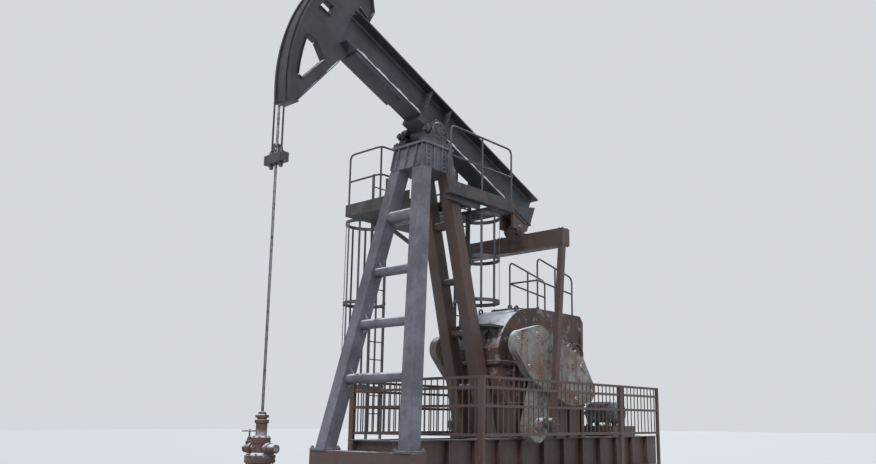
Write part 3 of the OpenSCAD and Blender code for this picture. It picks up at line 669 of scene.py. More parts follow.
class PUMPJACK_OT_saddle_fittings(bpy.types.Operator):
    """Ears, bolts, end covers and grease nipples of the bearings that the beam rocks on"""
    bl_idname = "pumpjack.saddle_fittings"
    bl_label = "Saddle fittings"

    def execute(self, context):
        pivot = sizes().pivot_height
        bm = bmesh.new()
        for side in (-1, 1):
            # Ears of the split cap with their bolts
            block(bm, (0.5, 0.13, 0.05), shift(0, side * 0.29, pivot), 0.004)
            rows = (side * 0.255, side * 0.325)
            bolt_grid(bm, (-0.215, 0.215), rows, pivot + 0.025, Z, 0.9)
            bolt_grid(bm, (-0.215, 0.215), rows, pivot - 0.025, -Z, 0.9)
            bolt_grid(bm, (-0.26, 0.26), rows, BEARING_BASE, Z)
            turned(bm, [(0.0, 0.012), (0.02, 0.012), (0.028, 0.02), (0.028, 0.05), (0.0, 0.056)],
                   turned_to((0, side * 0.29, pivot + 0.172), Z), 12)
            turned(bm, [(0.08, 0.0), (0.08, 0.014), (0.14, 0.014), (0.15, 0.0)],
                   turned_to((0, side * 0.355, pivot), side * Y), 32)
            ring_of_bolts(bm, (0, side * 0.369, pivot), side * Y, 0.115, 8, 0.5, 0.5)
        piece(bm, "bearing_bolts", "dark_steel", "root")
        bm = bmesh.new()
        for side in (-1, 1):
            turned(bm, [(0.0, 0.016), (0.045, 0.016), (0.06, 0.008), (0.06, 0.0)],
                   turned_to((0, side * 0.375, pivot), side * Y), 24)
        piece(bm, "shaft_caps", "dark_steel", "walking_beam")
        return {"FINISHED"}


class PUMPJACK_OT_tower_fittings(bpy.types.Operator):
    """Foot bolts, gussets at the cross tubes, and the ribs and bolts of the tower's head"""
    bl_idname = "pumpjack.tower_fittings"
    bl_label = "Tower fittings"

    def execute(self, context):
        for slot, name, legs in (("grey_paint", "front_leg_fittings", ("front_leg_left", "front_leg_right")),
                                 ("rusty_steel", "rear_leg_fittings", ("rear_leg_left", "rear_leg_right"))):
            bm = bmesh.new()
            for leg in legs:
                low, high, mid = box_of(leg)
                front = leg.startswith("front")
                # The shoe is 330 by 320 mm and lies at the leg's foot
                x = low.x + 0.165 if front else high.x - 0.165
                y = copysign(0.88 if front else 0.262, mid.y)
                bolt_grid(bm, (x - 0.135, x + 0.135), (y - 0.13, y + 0.13), low.z + 0.03, Z)
            piece(bm, name, slot, "root")
        low, high, _ = box_of("tower_head")
        bm = bmesh.new()
        half, tall = 0.33, 0.375
        for side in (-1, 1):
            # Upright ribs on the side plates, with bolts between them
            for x in (-0.27, -0.09, 0.09, 0.25):
                block(bm, (0.016, 0.034, tall), shift(x, side * (half + 0.016), low.z + tall / 2), 0.003)
            for x in (-0.18, 0.17):
                for i in range(5):
                    bolt(bm, (x, side * half, low.z + 0.06 + i * 0.068), side * Y, 0.65)
            bolt_grid(bm, (-0.3, -0.1, 0.1, 0.3), (side * 0.352,), high.z, Z, 0.6)
        # Ribs on the sloping front and rear plates
        for foot, top, out in ((-0.375, -0.295, -1), (0.43, 0.32, 1)):
            for y in (-0.31, -0.2, 0.0, 0.2, 0.31):
                plate(bm,
                      [(foot, low.z), (foot + out * 0.035, low.z + 0.02), (top + out * 0.035, low.z + tall),
                           (top, low.z + tall)], 0.016, shift(0, y, 0))
        piece(bm, "head_bolts", "grey_paint", "root")
        self.gussets()
        return {"FINISHED"}

    def gussets(self):
        """Small plates in the corners between the front legs and their cross tubes."""
        bm = bmesh.new()
        # The legs' middle lines rise 4.75 m from their feet, go back 0.855 m and draw in 0.69 m
        rise, back, draw_in = 4.75, 0.855, 0.69
        foot_x, foot_y, foot_z = -1.04, 0.88, 1.24
        leg_half = 0.115
        lean = atan2(back, rise)
        length = hypot(back, rise)
        for up in (1.07, 1.91, 2.74):
            half = foot_y - draw_in * up / length - leg_half
            z = foot_z + up * cos(lean)
            x = foot_x + up * sin(lean)
            for side in (-1, 1):
                for over in (-1, 1):
                    corner = shift(x, side * half, z + over * 0.07 * cos(lean)) \
                        @ Matrix.Rotation(lean, 4, "Y") @ Matrix.Rotation(radians(90), 4, "Z")
                    plate(bm, [(0.0, 0.0), (-side * 0.11, 0.0), (side * 0.004, over * 0.11)], 0.014, corner)
        piece(bm, "cross_tube_gussets", "grey_paint", "root")


class PUMPJACK_OT_railings(bpy.types.Operator):
    """Bent tube railings of the platform and the gearbox"""
    bl_idname = "pumpjack.railings"
    bl_label = "Railings"

    def execute(self, context):
        d, bend = sizes().rail, sizes().rail_bend
        low, high, centre = box_of("platform_railing")
        x0, y0, z = low.x + 0.02, low.y + 0.02, low.z
        x1, y1 = high.x - 0.02, high.y - 0.02
        top, middle = z + 1.08, z + 0.58
        # The rails end at the way round the tower's head and at the left ladder
        head_end, gap_end, near_ladder, far_ladder = 0.46, 1.15, x0 + 0.38, x1 - 0.4
        paths = ([(x0, y0), (x1, y0)], [(x1, head_end), (x1, y1), (far_ladder, y1)],
                 [(x0, y1), (x0, gap_end), (near_ladder, gap_end)])
        runs = []
        for path in paths:
            # The end posts and the top rail are one bent tube
            rail = [(x, y, top) for x, y in path]
            runs.append([(*path[0], z), *rail, (*path[-1], z)])
            runs.append([(x, y, middle) for x, y in path])
        posts = ((centre.x, y0), (x1, 1.21), (x1, y1), (x0, gap_end))
        runs += [[(x, y, z), (x, y, top)] for x, y in posts]
        bent_tube("platform_rails", "dark_steel", "root", runs, d, bend, "platform_railing")
        low, high, centre = box_of("gearbox_railing")
        x0, x1, y, z = low.x + 0.019, high.x - 0.019, high.y - 0.019, low.z
        front, rear = 0.94, 0.72
        runs = []
        for side in (-1, 1):
            # Each side is one tube, up, back and down, with bent corners and a sloping top
            runs.append([(x0, side * y, z), (x0, side * y, z + front), (x1, side * y, z + rear),
                         (x1, side * y, z)])
            runs.append([(x0, side * y, z + front * 0.56), (x1, side * y, z + rear * 0.56)])
            runs.append([(centre.x, side * y, z), (centre.x, side * y, z + (front + rear) / 2)])
        runs.append([(x0, -y, z + front * 0.56), (x0, y, z + front * 0.56)])
        bent_tube("gearbox_rails", "dark_steel", "root", runs, d, bend, "gearbox_railing")
        self.feet()
        return {"FINISHED"}

    def feet(self):
        """Round feet under the posts of the platform."""
        bm = bmesh.new()
        for x, y in ((0.16, -0.48), (0.95, -0.48), (1.74, -0.48), (0.54, 1.15), (0.16, 1.15), (0.16, 1.96),
                     (1.34, 1.96), (1.74, 1.96), (1.74, 1.21), (1.74, 0.46)):
            turned(bm, [(0.017, 0.02), (0.024, 0.012), (0.036, 0.01), (0.036, 0.0)], shift(x, y, DECK_TOP),
                   16)
        piece(bm, "post_feet", "dark_steel", "root")


class PUMPJACK_OT_crank_fittings(bpy.types.Operator):
    """Cast counterweights with their clamp bolts, and the cranks' rings and bolts"""
    bl_idname = "pumpjack.crank_fittings"
    bl_label = "Crank fittings"

    def execute(self, context):
        place = crank_place()
        throw = sizes().crank_throw
        bm = bmesh.new()
        for side in (-1, 1):
            out = side * Y
            face = side * 0.9503
            # Weight: a long lens with round ends, on a raised rim
            outline = lobe(1, 1.0, 0.06, 0.23) + [(0.7, 0.47), (0.48, 0.53), (-0.48, 0.53), (-0.7, 0.47)] \
                + lobe(-1, 1.0, 0.06, 0.23) + [(-0.7, -0.42), (0.7, -0.42)]
            verts = plate(bm, outline, 0.15, place @ shift(0, side * 0.8753, 0))
            outer = [f for f in {f for v in verts for f in v.link_faces}
                     if all(abs(v.co.y - face) < 0.002 for v in f.verts)]
            bmesh.ops.inset_region(bm, faces=outer, thickness=0.05, depth=0.0)
            bmesh.ops.translate(bm, vec=(0, -side * 0.014, 0),
                                verts=list({v for f in outer for v in f.verts}))
            # Bolts that clamp each weight to its crank, on raised pads
            for x, z in ((1.15, 0.05), (-1.15, 0.05), (0.70, -0.24), (-0.70, -0.24), (0.72, 0.36),
                         (-0.72, 0.36)):
                at = place @ Vector((x, 0, z))
                pad = turned_to((at.x, face - side * 0.014, at.z), out)
                turned(bm, [(0.0, 0.014), (0.045, 0.014), (0.055, 0.0)], pad, 20)
                bolt(bm, (at.x, face, at.z), out, 0.62)
            # Boss over the shaft
            turned(bm, [(0.0, 0.014), (0.13, 0.014), (0.15, 0.0)],
                   turned_to((place.translation.x, face - side * 0.014, place.translation.z), out), 36)
            ring_of_bolts(bm, (place.translation.x, face, place.translation.z), out, 0.1, 6, 0.55)
        piece(bm, "weight_castings", "pale_paint", "cranks", "counterweights")
        bm = bmesh.new()
        for side in (-1, 1):
            out = side * Y
            # Row of spare wrist pin holes, drawn as bushed rings, along the crank's outer face
            for z in (0.66, 0.82):
                at = place @ Vector((0, 0, z))
                turned(bm, [(0.05, -0.03), (0.05, 0.008), (0.068, 0.008), (0.072, 0.0), (0.072, -0.03)],
                       turned_to((at.x, side * 0.8, at.z), out), 28)
            wrist = place @ Vector((0, 0, throw))
            ring_of_bolts(bm, (wrist.x, side * 0.8, wrist.z), out, 0.155, 8, 0.55)
            # Clamp bolts across the split boss at the shaft
            for x in (-0.25, 0.25):
                for y in (0.67, 0.75):
                    at = place @ Vector((x, 0, -0.15))
                    bolt(bm, (at.x, side * y, at.z), place.to_3x3() @ Vector((copysign(1, x), 0, -0.6)))
        piece(bm, "crank_bolts", "pale_paint", "cranks")
        return {"FINISHED"}


class PUMPJACK_OT_linkage_fittings(bpy.types.Operator):
    """Bolts and caps of the equalizer, the pitmans and the bracket under the tail"""
    bl_idname = "pumpjack.linkage_fittings"
    bl_label = "Linkage fittings"

    def execute(self, context):
        mid = box_of("equalizer")[2]
        bearing = Vector((2.44, 0, 5.12))
        wrist = crank_place() @ Vector((0, 0, sizes().crank_throw))
        top, bottom, pitman = 4.995, 4.695, 1.085
        columns = (mid.x - 0.07, mid.x + 0.07)
        bm = bmesh.new()
        for side in (-1, 1):
            out = side * Y
            # Bolts of the pitman's head plate, through the equalizer's lower flange
            rows = (side * pitman - 0.035, side * pitman + 0.035)
            bolt_grid(bm, columns, rows, top, Z, 0.6)
            bolt_grid(bm, columns, rows, bottom - 0.0003, -Z, 0.6)
            # Doubler plates beside the bearing, and bolts of its base
            for sign in (-1, 1):
                block(bm, (0.012, 0.34, 0.2), shift(mid.x + sign * 0.114, side * 0.2, 4.85), 0.003)
            bolt_grid(bm, columns, (side * 0.23, side * 0.3), top, Z, 0.7)
            # Cap, ring of screws and nipple of the wrist bearing
            turned(bm, [(0.0, 0.014), (0.05, 0.014), (0.07, 0.008), (0.07, 0.0)],
                   turned_to((wrist.x, side * 1.1353, wrist.z), out), 28)
            ring_of_bolts(bm, (wrist.x, side * 1.1353, wrist.z), out, 0.095, 8, 0.42)
            turned(bm, [(0.0, 0.03), (0.01, 0.03), (0.012, 0.02), (0.016, 0.0)],
                   turned_to((wrist.x - 0.01, side * pitman, wrist.z + 0.12), (-0.1, 0, 1)), 12)
        piece(bm, "linkage_bolts", "rusty_steel", "equalizer")
        bm = bmesh.new()
        for side in (-1, 1):
            turned(bm, [(0.056, 0.0), (0.056, 0.012), (0.082, 0.012), (0.09, 0.0)],
                   turned_to((bearing.x, side * 0.155, bearing.z), side * Y), 32)
            place = beam_place()
            for x in (2.17, 2.27):
                bolt(bm, place @ Vector((x, side * 0.14, 0.08)), place.to_3x3() @ -Z, 0.7)
        piece(bm, "bracket_bolts", "rusty_steel", "walking_beam")
        return {"FINISHED"}


class PUMPJACK_OT_gearbox_fittings(bpy.types.Operator):
    """Bearing covers, flange bolts, hatch, breather and oil fittings of the gearbox"""
    bl_idname = "pumpjack.gearbox_fittings"
    bl_label = "Gearbox fittings"

    def execute(self, context):
        low, high, _ = box_of("gearbox")
        shaft, pinion = box_of("crankshaft")[2], box_of("driven_sheave")[2]
        wall = 0.5
        bm = bmesh.new()
        # Flange where the two halves of the case meet
        front, rear = 1.30, 3.965
        block(bm, (rear - front, 2 * wall + 0.08, 0.07), shift((front + rear) / 2, 0, shaft.z), 0.006)
        for side in (-1, 1):
            out = side * Y
            # Bearing cover of the crankshaft, with its bolts
            inner, outer = 0.0975, 0.22
            turned(bm, [(inner, 0), (outer, 0), (outer, 0.01), (outer - 0.015, 0.018), (outer * 0.62, 0.024),
                        (inner, 0.024), (inner, 0)], turned_to((shaft.x, side * 0.56, shaft.z), out), 40)
            ring_of_bolts(bm, (shaft.x, side * 0.576, shaft.z), out, outer * 0.83, 10, 0.5, 0.2)
            # Housings that stand out from the wall; the pinion's is on the right side only
            housings = [(shaft, 0.56, 0.22)] + ([(pinion, 0.54, 0.125)] if side < 0 else [])
            for at, y, outer in housings:
                turned(bm, [(outer, -0.06), (outer + 0.05, -0.06), (outer + 0.04, -0.02), (outer, -0.01)],
                       turned_to((at.x, side * y, at.z), out), 40)
            for i in range(14):
                x = front + 0.08 + i * 0.19
                if abs(x - shaft.x) > 0.27:
                    bolt(bm, (x, side * (wall + 0.02), shaft.z + 0.035), Z, 0.6)
                    bolt(bm, (x, side * (wall + 0.02), shaft.z - 0.035), -Z, 0.6)
            # Ribs below and above the flange
            for x in (1.75, 2.05, 2.85, 3.2, 3.55, 3.85):
                block(bm, (0.022, 0.05, 0.54), shift(x, side * (wall + 0.02), 2.31), 0.004)
            for x, tall in ((1.75, 0.5), (2.1, 0.75), (2.85, 0.8), (3.8, 0.75)):
                block(bm, (0.022, 0.04, tall), shift(x, side * (wall + 0.015), 2.66 + tall / 2), 0.004)
            # Foot flange and its bolts
            block(bm, (2.34, 0.06, 0.03), shift(2.76, side * 0.5, low.z + 0.017), 0.004)
            feet = (1.65, 1.9, 2.2, 2.5, 2.8, 3.05, 3.38, 3.7)
            bolt_grid(bm, feet, (side * 0.515,), low.z + 0.032, Z, 0.6)
            # Lifting eyes on the shoulders
            for x, z in ((1.98, 3.6), (2.6, 3.65)):
                turned(bm, [(0.055, -0.012), (0.055, 0.012), (0.03, 0.012), (0.03, -0.012), (0.055, -0.012)],
                       turned_to((x, side * 0.4, z), Y), 20)
        # Cover on top with its screws, a breather and an oil level glass
        block(bm, (0.42, 0.6, 0.05), shift(2.36, 0, high.z - 0.018), 0.006)
        bolt_grid(bm, (2.19, 2.36, 2.53), (-0.26, 0.26), high.z + 0.006, Z, 0.5)
        turned(bm, [(0.0, 0.11), (0.035, 0.105), (0.045, 0.06), (0.025, 0.05), (0.025, 0.0)],
               turned_to((2.44, 0.1, high.z + 0.006), Z), 20)
        turned(bm, [(0.0, 0.02), (0.02, 0.02), (0.03, 0.012), (0.03, 0.0)],
               turned_to((2.0, -wall, 2.35), -Y), 20)
        piece(bm, "gearbox_covers", "rusty_iron", "root")
        return {"FINISHED"}


class PUMPJACK_OT_belt_drive(bpy.types.Operator):
    """Separate belts, grooved sheaves, brake drum with its band, and ribbed motor"""
    bl_idname = "pumpjack.belt_drive"
    bl_label = "Belt drive"

    def execute(self, context):
        large, small = box_of("driven_sheave"), box_of("motor_sheave")
        r1 = (large[1].z - large[0].z) / 2
        r2 = (small[1].z - small[0].z) / 2
        c1 = Vector((large[2].x, 0, large[2].z))
        c2 = Vector((small[2].x, 0, small[2].z))
        run = c2 - c1
        heading = atan2(run.z, run.x)
        turn = asin((r1 - r2) / run.length)

        def loop(bm, extra, y):
            verts = []
            for centre, r, start, end, n in ((c1, r1, pi / 2 - turn, 1.5 * pi + turn, 40),
                                             (c2, r2, -pi / 2 + turn, pi / 2 - turn, 16)):
                for i in range(n + 1):
                    t = heading + start + (end - start) * i / n
                    verts.append(bm.verts.new(centre + Vector((cos(t), 0, sin(t))) * (r + extra) + Y * y))
            return [bm.edges.new(pair) for pair in zip(verts, verts[1:] + verts[:1])]

        bm = bmesh.new()
        groove = 0.13 / sizes().belts
        for i in range(sizes().belts):
            y = BELT_SIDE + (i + 0.5) * groove
            # A belt is a wedge: wide outside, narrow inside
            rims = [loop(bm, 0.008, y - 0.012), loop(bm, 0.008, y + 0.012), loop(bm, -0.01, y + 0.008),
                    loop(bm, -0.01, y - 0.008)]
            for a, b in zip(rims, rims[1:] + rims[:1]):
                bmesh.ops.bridge_loops(bm, edges=a + b)
        piece(bm, "v_belts", "belt_rubber", "root", "drive_belt")
        self.sheaves(groove)
        self.brake()
        self.motor()
        return {"FINISHED"}

    def sheaves(self, groove):
        """Grooved rims: the driven one on six spokes, the motor's on a web."""
        bm = bmesh.new()
        mid, face = box_of("driven_sheave")[2], 0.5903
        place = turned_to((mid.x, face, mid.z), Y)
        for at, start, rim, inner in ((mid, face, 0.48, 0.40),
                                      (box_of("motor_sheave")[2], 0.59, 0.13, 0.036)):
            profile = [(inner, 0.0), (rim, 0.0)]
            for i in range(sizes().belts):
                y = BELT_SIDE + (i + 0.5) * groove - start
                profile += [(rim, y - 0.013), (rim - 0.022, y - 0.008), (rim - 0.022, y + 0.008),
                            (rim, y + 0.013)]
            profile += [(rim, 0.15), (inner, 0.15), (inner, 0.0)]
            turned(bm, profile, turned_to((at.x, start, at.z), Y), 64)
        for turn in range(6):
            spoke = place @ Matrix.Rotation(turn * pi / 3, 4, "Z")
            block(bm, (0.32, 0.075, 0.045), spoke @ shift(0.25, 0, 0.075), 0.015)
        turned(bm, [(0.0, -0.049), (0.1, -0.049), (0.1, 0.13), (0.09, 0.14), (0.05, 0.14), (0.05, 0.15),
                    (0.0, 0.15)],
               place, 36)
        ring_of_bolts(bm, (mid.x, face + 0.14, mid.z), Y, 0.072, 6, 0.4)
        piece(bm, "grooved_sheaves", "rusty_iron", "root", "driven_sheave", "motor_sheave")

    def brake(self):
        """Flanged drum with a lined band round it and the lugs that draw the band together."""
        low, high, mid = box_of("brake_drum")
        r = (high.z - low.z) / 2
        bm = bmesh.new()
        y = (low.y + high.y) / 2
        wide = (high.y - low.y) / 2
        turned(bm, [(0.0, wide), (r, wide), (r, wide - 0.012), (r - 0.014, wide - 0.018),
                    (r - 0.014, 0.018 - wide),
                    (r, 0.012 - wide), (r, -wide), (r - 0.03, -wide), (r - 0.04, 0.03 - wide),
                    (0.09, 0.04 - wide),
                    (0.08, -wide), (0.0, -wide)], turned_to((mid.x, y, mid.z), Y), 56)
        ring_of_bolts(bm, (mid.x, low.y, mid.z), -Y, 0.05, 4, 0.4, 0.4)
        piece(bm, "flanged_drum", "rusty_iron", "root", "brake_drum")
        bm = bmesh.new()
        turned(bm, [(r - 0.013, -0.042), (r - 0.003, -0.042), (r - 0.003, 0.042), (r - 0.013, 0.042),
                    (r - 0.013, -0.042)], turned_to((mid.x, y, mid.z), Y), 56)
        for x in (-0.03, 0.03):
            block(bm, (0.012, 0.07, 0.06), shift(mid.x + x, y, mid.z - r - 0.02), 0.003)
        rod(bm, (mid.x - 0.09, y, mid.z - r - 0.03), (mid.x + 0.09, y, mid.z - r - 0.03), 0.014, 10)
        piece(bm, "brake_band", "dark_steel", "root")

    def motor(self):
        """Ribbed motor on feet, with end bells, cowl, grille and terminal box."""
        low, high, mid = box_of("motor")
        x, z, front, rear = mid.x, box_of("motor_sheave")[2].z, low.y, 0.33
        bm = bmesh.new()
        shell = turned_to((x, 0, z), Y)
        turned(bm, [(0.0, front), (0.2, front), (0.222, front + 0.03), (0.222, -0.26), (0.195, -0.24),
                    (0.195, 0.22),
                    (0.212, 0.225), (0.212, 0.26), (0.17, 0.29), (0.12, 0.31), (0.08, rear), (0.036, rear),
                    (0.036, high.y), (0.0, high.y)], shell, 48)
        # Cooling ribs along the casing, clear of the feet
        for i in range(40):
            a = tau * i / 40
            if sin(a) > -0.8:
                rib = shift(x + 0.205 * cos(a), -0.01, z + 0.205 * sin(a)) \
                    @ Matrix.Rotation(-a, 4, "Y")
                block(bm, (0.034, 0.45, 0.007), rib)
        for side in (-1, 1):
            for y in (-0.21, 0.19):
                block(bm, (0.12, 0.1, 0.03), shift(x + side * 0.17, y, 1.615), 0.006)
                block(bm, (0.03, 0.1, 0.13), shift(x + side * 0.135, y, 1.69), 0.006)
                bolt(bm, (x + side * 0.19, y, 1.63), Z, 0.6)
        ring_of_bolts(bm, (x, 0.26, z), Y, 0.19, 8, 0.36, 0.4)
        # Rings and bars of the cowl's grille
        for r in (0.05, 0.085, 0.12, 0.155):
            turned(bm, [(r, 0.0), (r, 0.006), (r + 0.008, 0.006), (r + 0.008, 0.0)],
                   turned_to((x, front + 0.006, z), -Y), 32)
        for turn in range(4):
            spoke = turned_to((x, front + 0.004, z), -Y) @ Matrix.Rotation(turn * pi / 4, 4, "Z")
            block(bm, (0.32, 0.008, 0.008), spoke, 0.002)
        # Terminal box on the rear side with its lid and gland
        block(bm, (0.11, 0.2, 0.16), shift(x + 0.255, -0.02, z + 0.03), 0.008)
        block(bm, (0.012, 0.21, 0.17), shift(x + 0.314, -0.02, z + 0.03), 0.004)
        for y in (-0.1, 0.06):
            for dz in (-0.06, 0.06):
                bolt(bm, (x + 0.32, y, z + 0.03 + dz), X, 0.3)
        turned(bm, [(0.0, 0.03), (0.018, 0.03), (0.022, 0.0)],
               turned_to((x + 0.255, -0.02, z - 0.05), -Z), 12)
        piece(bm, "ribbed_motor", "motor_paint", "root", "motor")


class PUMPJACK_OT_base_fittings(bpy.types.Operator):
    """Anchor bolts and clamps of the base, stand and fence"""
    bl_idname = "pumpjack.base_fittings"
    bl_label = "Base fittings"

    def execute(self, context):
        low, high, _ = box_of("base_frame")
        bm = bmesh.new()
        for side in (-1, 1):
            bolt_grid(bm, [-0.75 + i * 0.61 for i in range(13)], (side * 0.36, side * 0.5), low.z + 0.02, Z,
                      0.8)
            # Stiffeners between the flanges of the long beams, on their outer side
            for i in range(12):
                block(bm, (0.014, 0.09, high.z - low.z - 0.04),
                      shift(-0.45 + i * 0.61, side * 0.483, (low.z + high.z) / 2), 0.002)
            # Clamps of the gearbox's stand, with their bolts and ribs
            for x in (1.75, 2.15, 2.55, 2.95, 3.35, 3.75):
                block(bm, (0.12, 0.05, 0.02), shift(x, side * 0.54, 1.41), 0.003)
                bolt(bm, (x, side * 0.542, 1.42), Z, 0.6)
                block(bm, (0.016, 0.04, 0.52), shift(x, side * 0.538, 1.68), 0.003)
            # Anchor lugs beside the wide front beam
            for y in (0.12, 0.6, 1.0):
                for x, out in ((-1.171, -1), (-0.909, 1)):
                    block(bm, (0.09, 0.12, 0.02), shift(x + out * 0.045, side * y, low.z + 0.01), 0.003)
                    bolt(bm, (x + out * 0.05, side * y, low.z + 0.02), Z, 0.8)
        piece(bm, "anchor_bolts", "rusty_steel", "root")
        bm = bmesh.new()
        # Feet of the fence's posts
        posts = [(x, side * 1.4) for side in (-1, 1) for x in (-0.105, 3.695, 3.7453, 5.075)] \
            + [(-0.105, -1.34), (-0.105, 1.34)]
        for x, y in posts:
            for dx, dy in ((-0.04, -0.04), (0.04, 0.04)):
                bolt(bm, (x + dx, y + dy, 0.81), Z, 0.45)
            block(bm, (0.13, 0.13, 0.01), shift(x, y, 0.8055), 0.002)
        piece(bm, "fence_feet", "rusty_steel", "root")
        return {"FINISHED"}


class PUMPJACK_OT_well_fittings(bpy.types.Operator):
    """Wellhead, stuffing box and the clamp of the rod, on the line of the well"""
    bl_idname = "pumpjack.well_fittings"
    bl_label = "Well fittings"

    def execute(self, context):
        _, _, mid = box_of("polished_rod")
        x, tee = mid.x, 1.32  # height of the side outlets
        bore = 0.0335
        bm = bmesh.new()
        up = turned_to((x, 0, 0), Z)
        # Casing head, its two pairs of flanges and the tee of the side outlets
        turned(bm, [(bore, 0.002), (0.11, 0.002), (0.11, 0.56), (0.16, 0.58), (0.2295, 0.6), (0.2295, 0.632),
                    (0.2, 0.636),
                    (0.2295, 0.64), (0.2295, 0.67), (0.15, 0.69), (0.095, 0.74), (0.095, 1.08), (0.12, 1.13),
                    (0.19, 1.15),
                    (0.19, 1.192), (0.165, 1.195), (0.165, 1.198), (0.19, 1.2), (0.19, 1.24), (0.13, 1.245),
                    (0.105, 1.27), (0.105, 1.38), (0.12, 1.39), (0.12, 1.418), (bore, 1.418), (bore, 0.002)],
               up, 48)
        for z, axis, radius, count, width in (
                (0.67, Z, 0.195, 12, 0.6), (0.6, -Z, 0.195, 12, 0.6),
                (1.24, Z, 0.158, 10, 0.55), (1.15, -Z, 0.158, 10, 0.55)):
            ring_of_bolts(bm, (x, 0, z), axis, radius, count, width)
        for side in (-1, 1):
            out = turned_to((x, 0, tee), side * Y)
            turned(bm, [(0.0, 0.06), (0.05, 0.06), (0.05, 0.15), (0.075, 0.155), (0.075, 0.178), (0.06, 0.18),
                        (0.075, 0.182), (0.075, 0.205), (0.06, 0.21), (0.065, 0.25), (0.05, 0.29),
                        (0.055, 0.3),
                        (0.055, 0.325), (0.0, 0.33)], out, 28)
            ring_of_bolts(bm, (x, side * 0.205, tee), side * Y, 0.062, 6, 0.32)
        # Valve on the left outlet: bonnet, stem and hand wheel on top
        stem = turned_to((x, 0.25, tee), Z)
        turned(bm, [(0.0, 0.05), (0.045, 0.05), (0.045, 0.09), (0.03, 0.1), (0.022, 0.14), (0.01, 0.15),
                    (0.01, 0.24),
                    (0.0, 0.24)], stem, 20)
        turned(bm,
               [(0.082, 0.212), (0.094, 0.208), (0.1, 0.218), (0.094, 0.228), (0.084, 0.226), (0.082, 0.212)],
               stem, 32)
        for turn in range(3):
            block(bm, (0.176, 0.012, 0.01), stem @ shift(0, 0, 0.218)
                  @ Matrix.Rotation(turn * pi / 3, 4, "Z"), 0.002)
        piece(bm, "flanged_wellhead", "rusty_iron", "root", "wellhead")
        # Stuffing box: flange, barrel, packing gland and oil cup
        bm = bmesh.new()
        turned(bm, [(0.0182, 1.421), (0.12, 1.421), (0.12, 1.458), (0.085, 1.466), (0.07, 1.49), (0.07, 1.63),
                    (0.088, 1.64), (0.088, 1.675), (0.06, 1.68), (0.06, 1.7), (0.085, 1.705), (0.085, 1.735),
                    (0.05, 1.745), (0.045, 1.775), (0.0182, 1.78), (0.0182, 1.421)], up, 40)
        ring_of_bolts(bm, (x, 0, 1.458), Z, 0.1, 8, 0.42)
        for side in (-1, 1):
            rod(bm, (x, side * 0.075, 1.64), (x, side * 0.075, 1.76), 0.016, 8)
            bolt(bm, (x, side * 0.075, 1.735), Z, 0.42)
        piece(bm, "packing_gland", "rusty_iron", "root", "stuffing_box")
        self.carrier(x)
        return {"FINISHED"}

    def carrier(self, x):
        """Halves of the rod clamp with their bolts, and the collars and nuts of the rope sockets."""
        bm = bmesh.new()
        top = 5.19
        for z in (top + 0.04, top + 0.1):
            for y in (-0.036, 0.036):
                rod(bm, (x - 0.06, y, z), (x + 0.06, y, z), 0.014, 8)
                for side in (-1, 1):
                    bolt(bm, (x + side * 0.046, y, z), side * X, 0.4)
        for y in (-0.105, 0.105):
            turned(bm, [(0.0135, 0.07), (0.02, 0.07), (0.034, 0.025), (0.034, 0.0), (0.0135, 0.0),
                        (0.0135, 0.07)],
                   turned_to((x, y, top + 0.0005), Z), 20)
            turned(bm, [(0.0, 0.06), (0.028, 0.06), (0.034, 0.0)], turned_to((x, y, top - 0.13), -Z), 6)
        # Rounded cheeks of the carrier
        for side in (-1, 1):
            block(bm, (0.13, 0.012, 0.1), shift(x, side * 0.16, top - 0.065), 0.004)
        piece(bm, "rod_clamp", "dark_steel", "carrier")


class PUMPJACK_OT_rope_strands(bpy.types.Operator):
    """Strands round the hanging ropes, fixed where they are built"""
    bl_idname = "pumpjack.rope_strands"
    bl_label = "Rope strands"

    def execute(self, context):
        low, high, mid = box_of("hanging_ropes")
        gap = (high.y - low.y) / 2 - 0.013
        strands, steps, turns = 6, 44, 3.5
        bm = bmesh.new()
        for side in (-1, 1):
            rings = []
            for i in range(steps + 1):
                t = i / steps
                ring = bmesh.ops.create_circle(bm, segments=2 * strands, radius=0.0132)["verts"]
                # Every other point lies in the groove between two strands
                bmesh.ops.scale(bm, vec=(0.95, 0.95, 1), verts=ring[::2])
                place = shift(mid.x, side * gap, low.z + 0.001 + (high.z - low.z - 0.002) * t)
                bmesh.ops.transform(bm, matrix=place @ Matrix.Rotation(tau * turns * t, 4, "Z"), verts=ring)
                rings.append(list({e for v in ring for e in v.link_edges}))
            for a, b in zip(rings, rings[1:]):
                bmesh.ops.bridge_loops(bm, edges=a + b)
            bmesh.ops.holes_fill(bm, edges=rings[0] + rings[-1], sides=0)
        made = piece(bm, "rope_strands", "wire_rope", None)
        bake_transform(made)
        return {"FINISHED"}


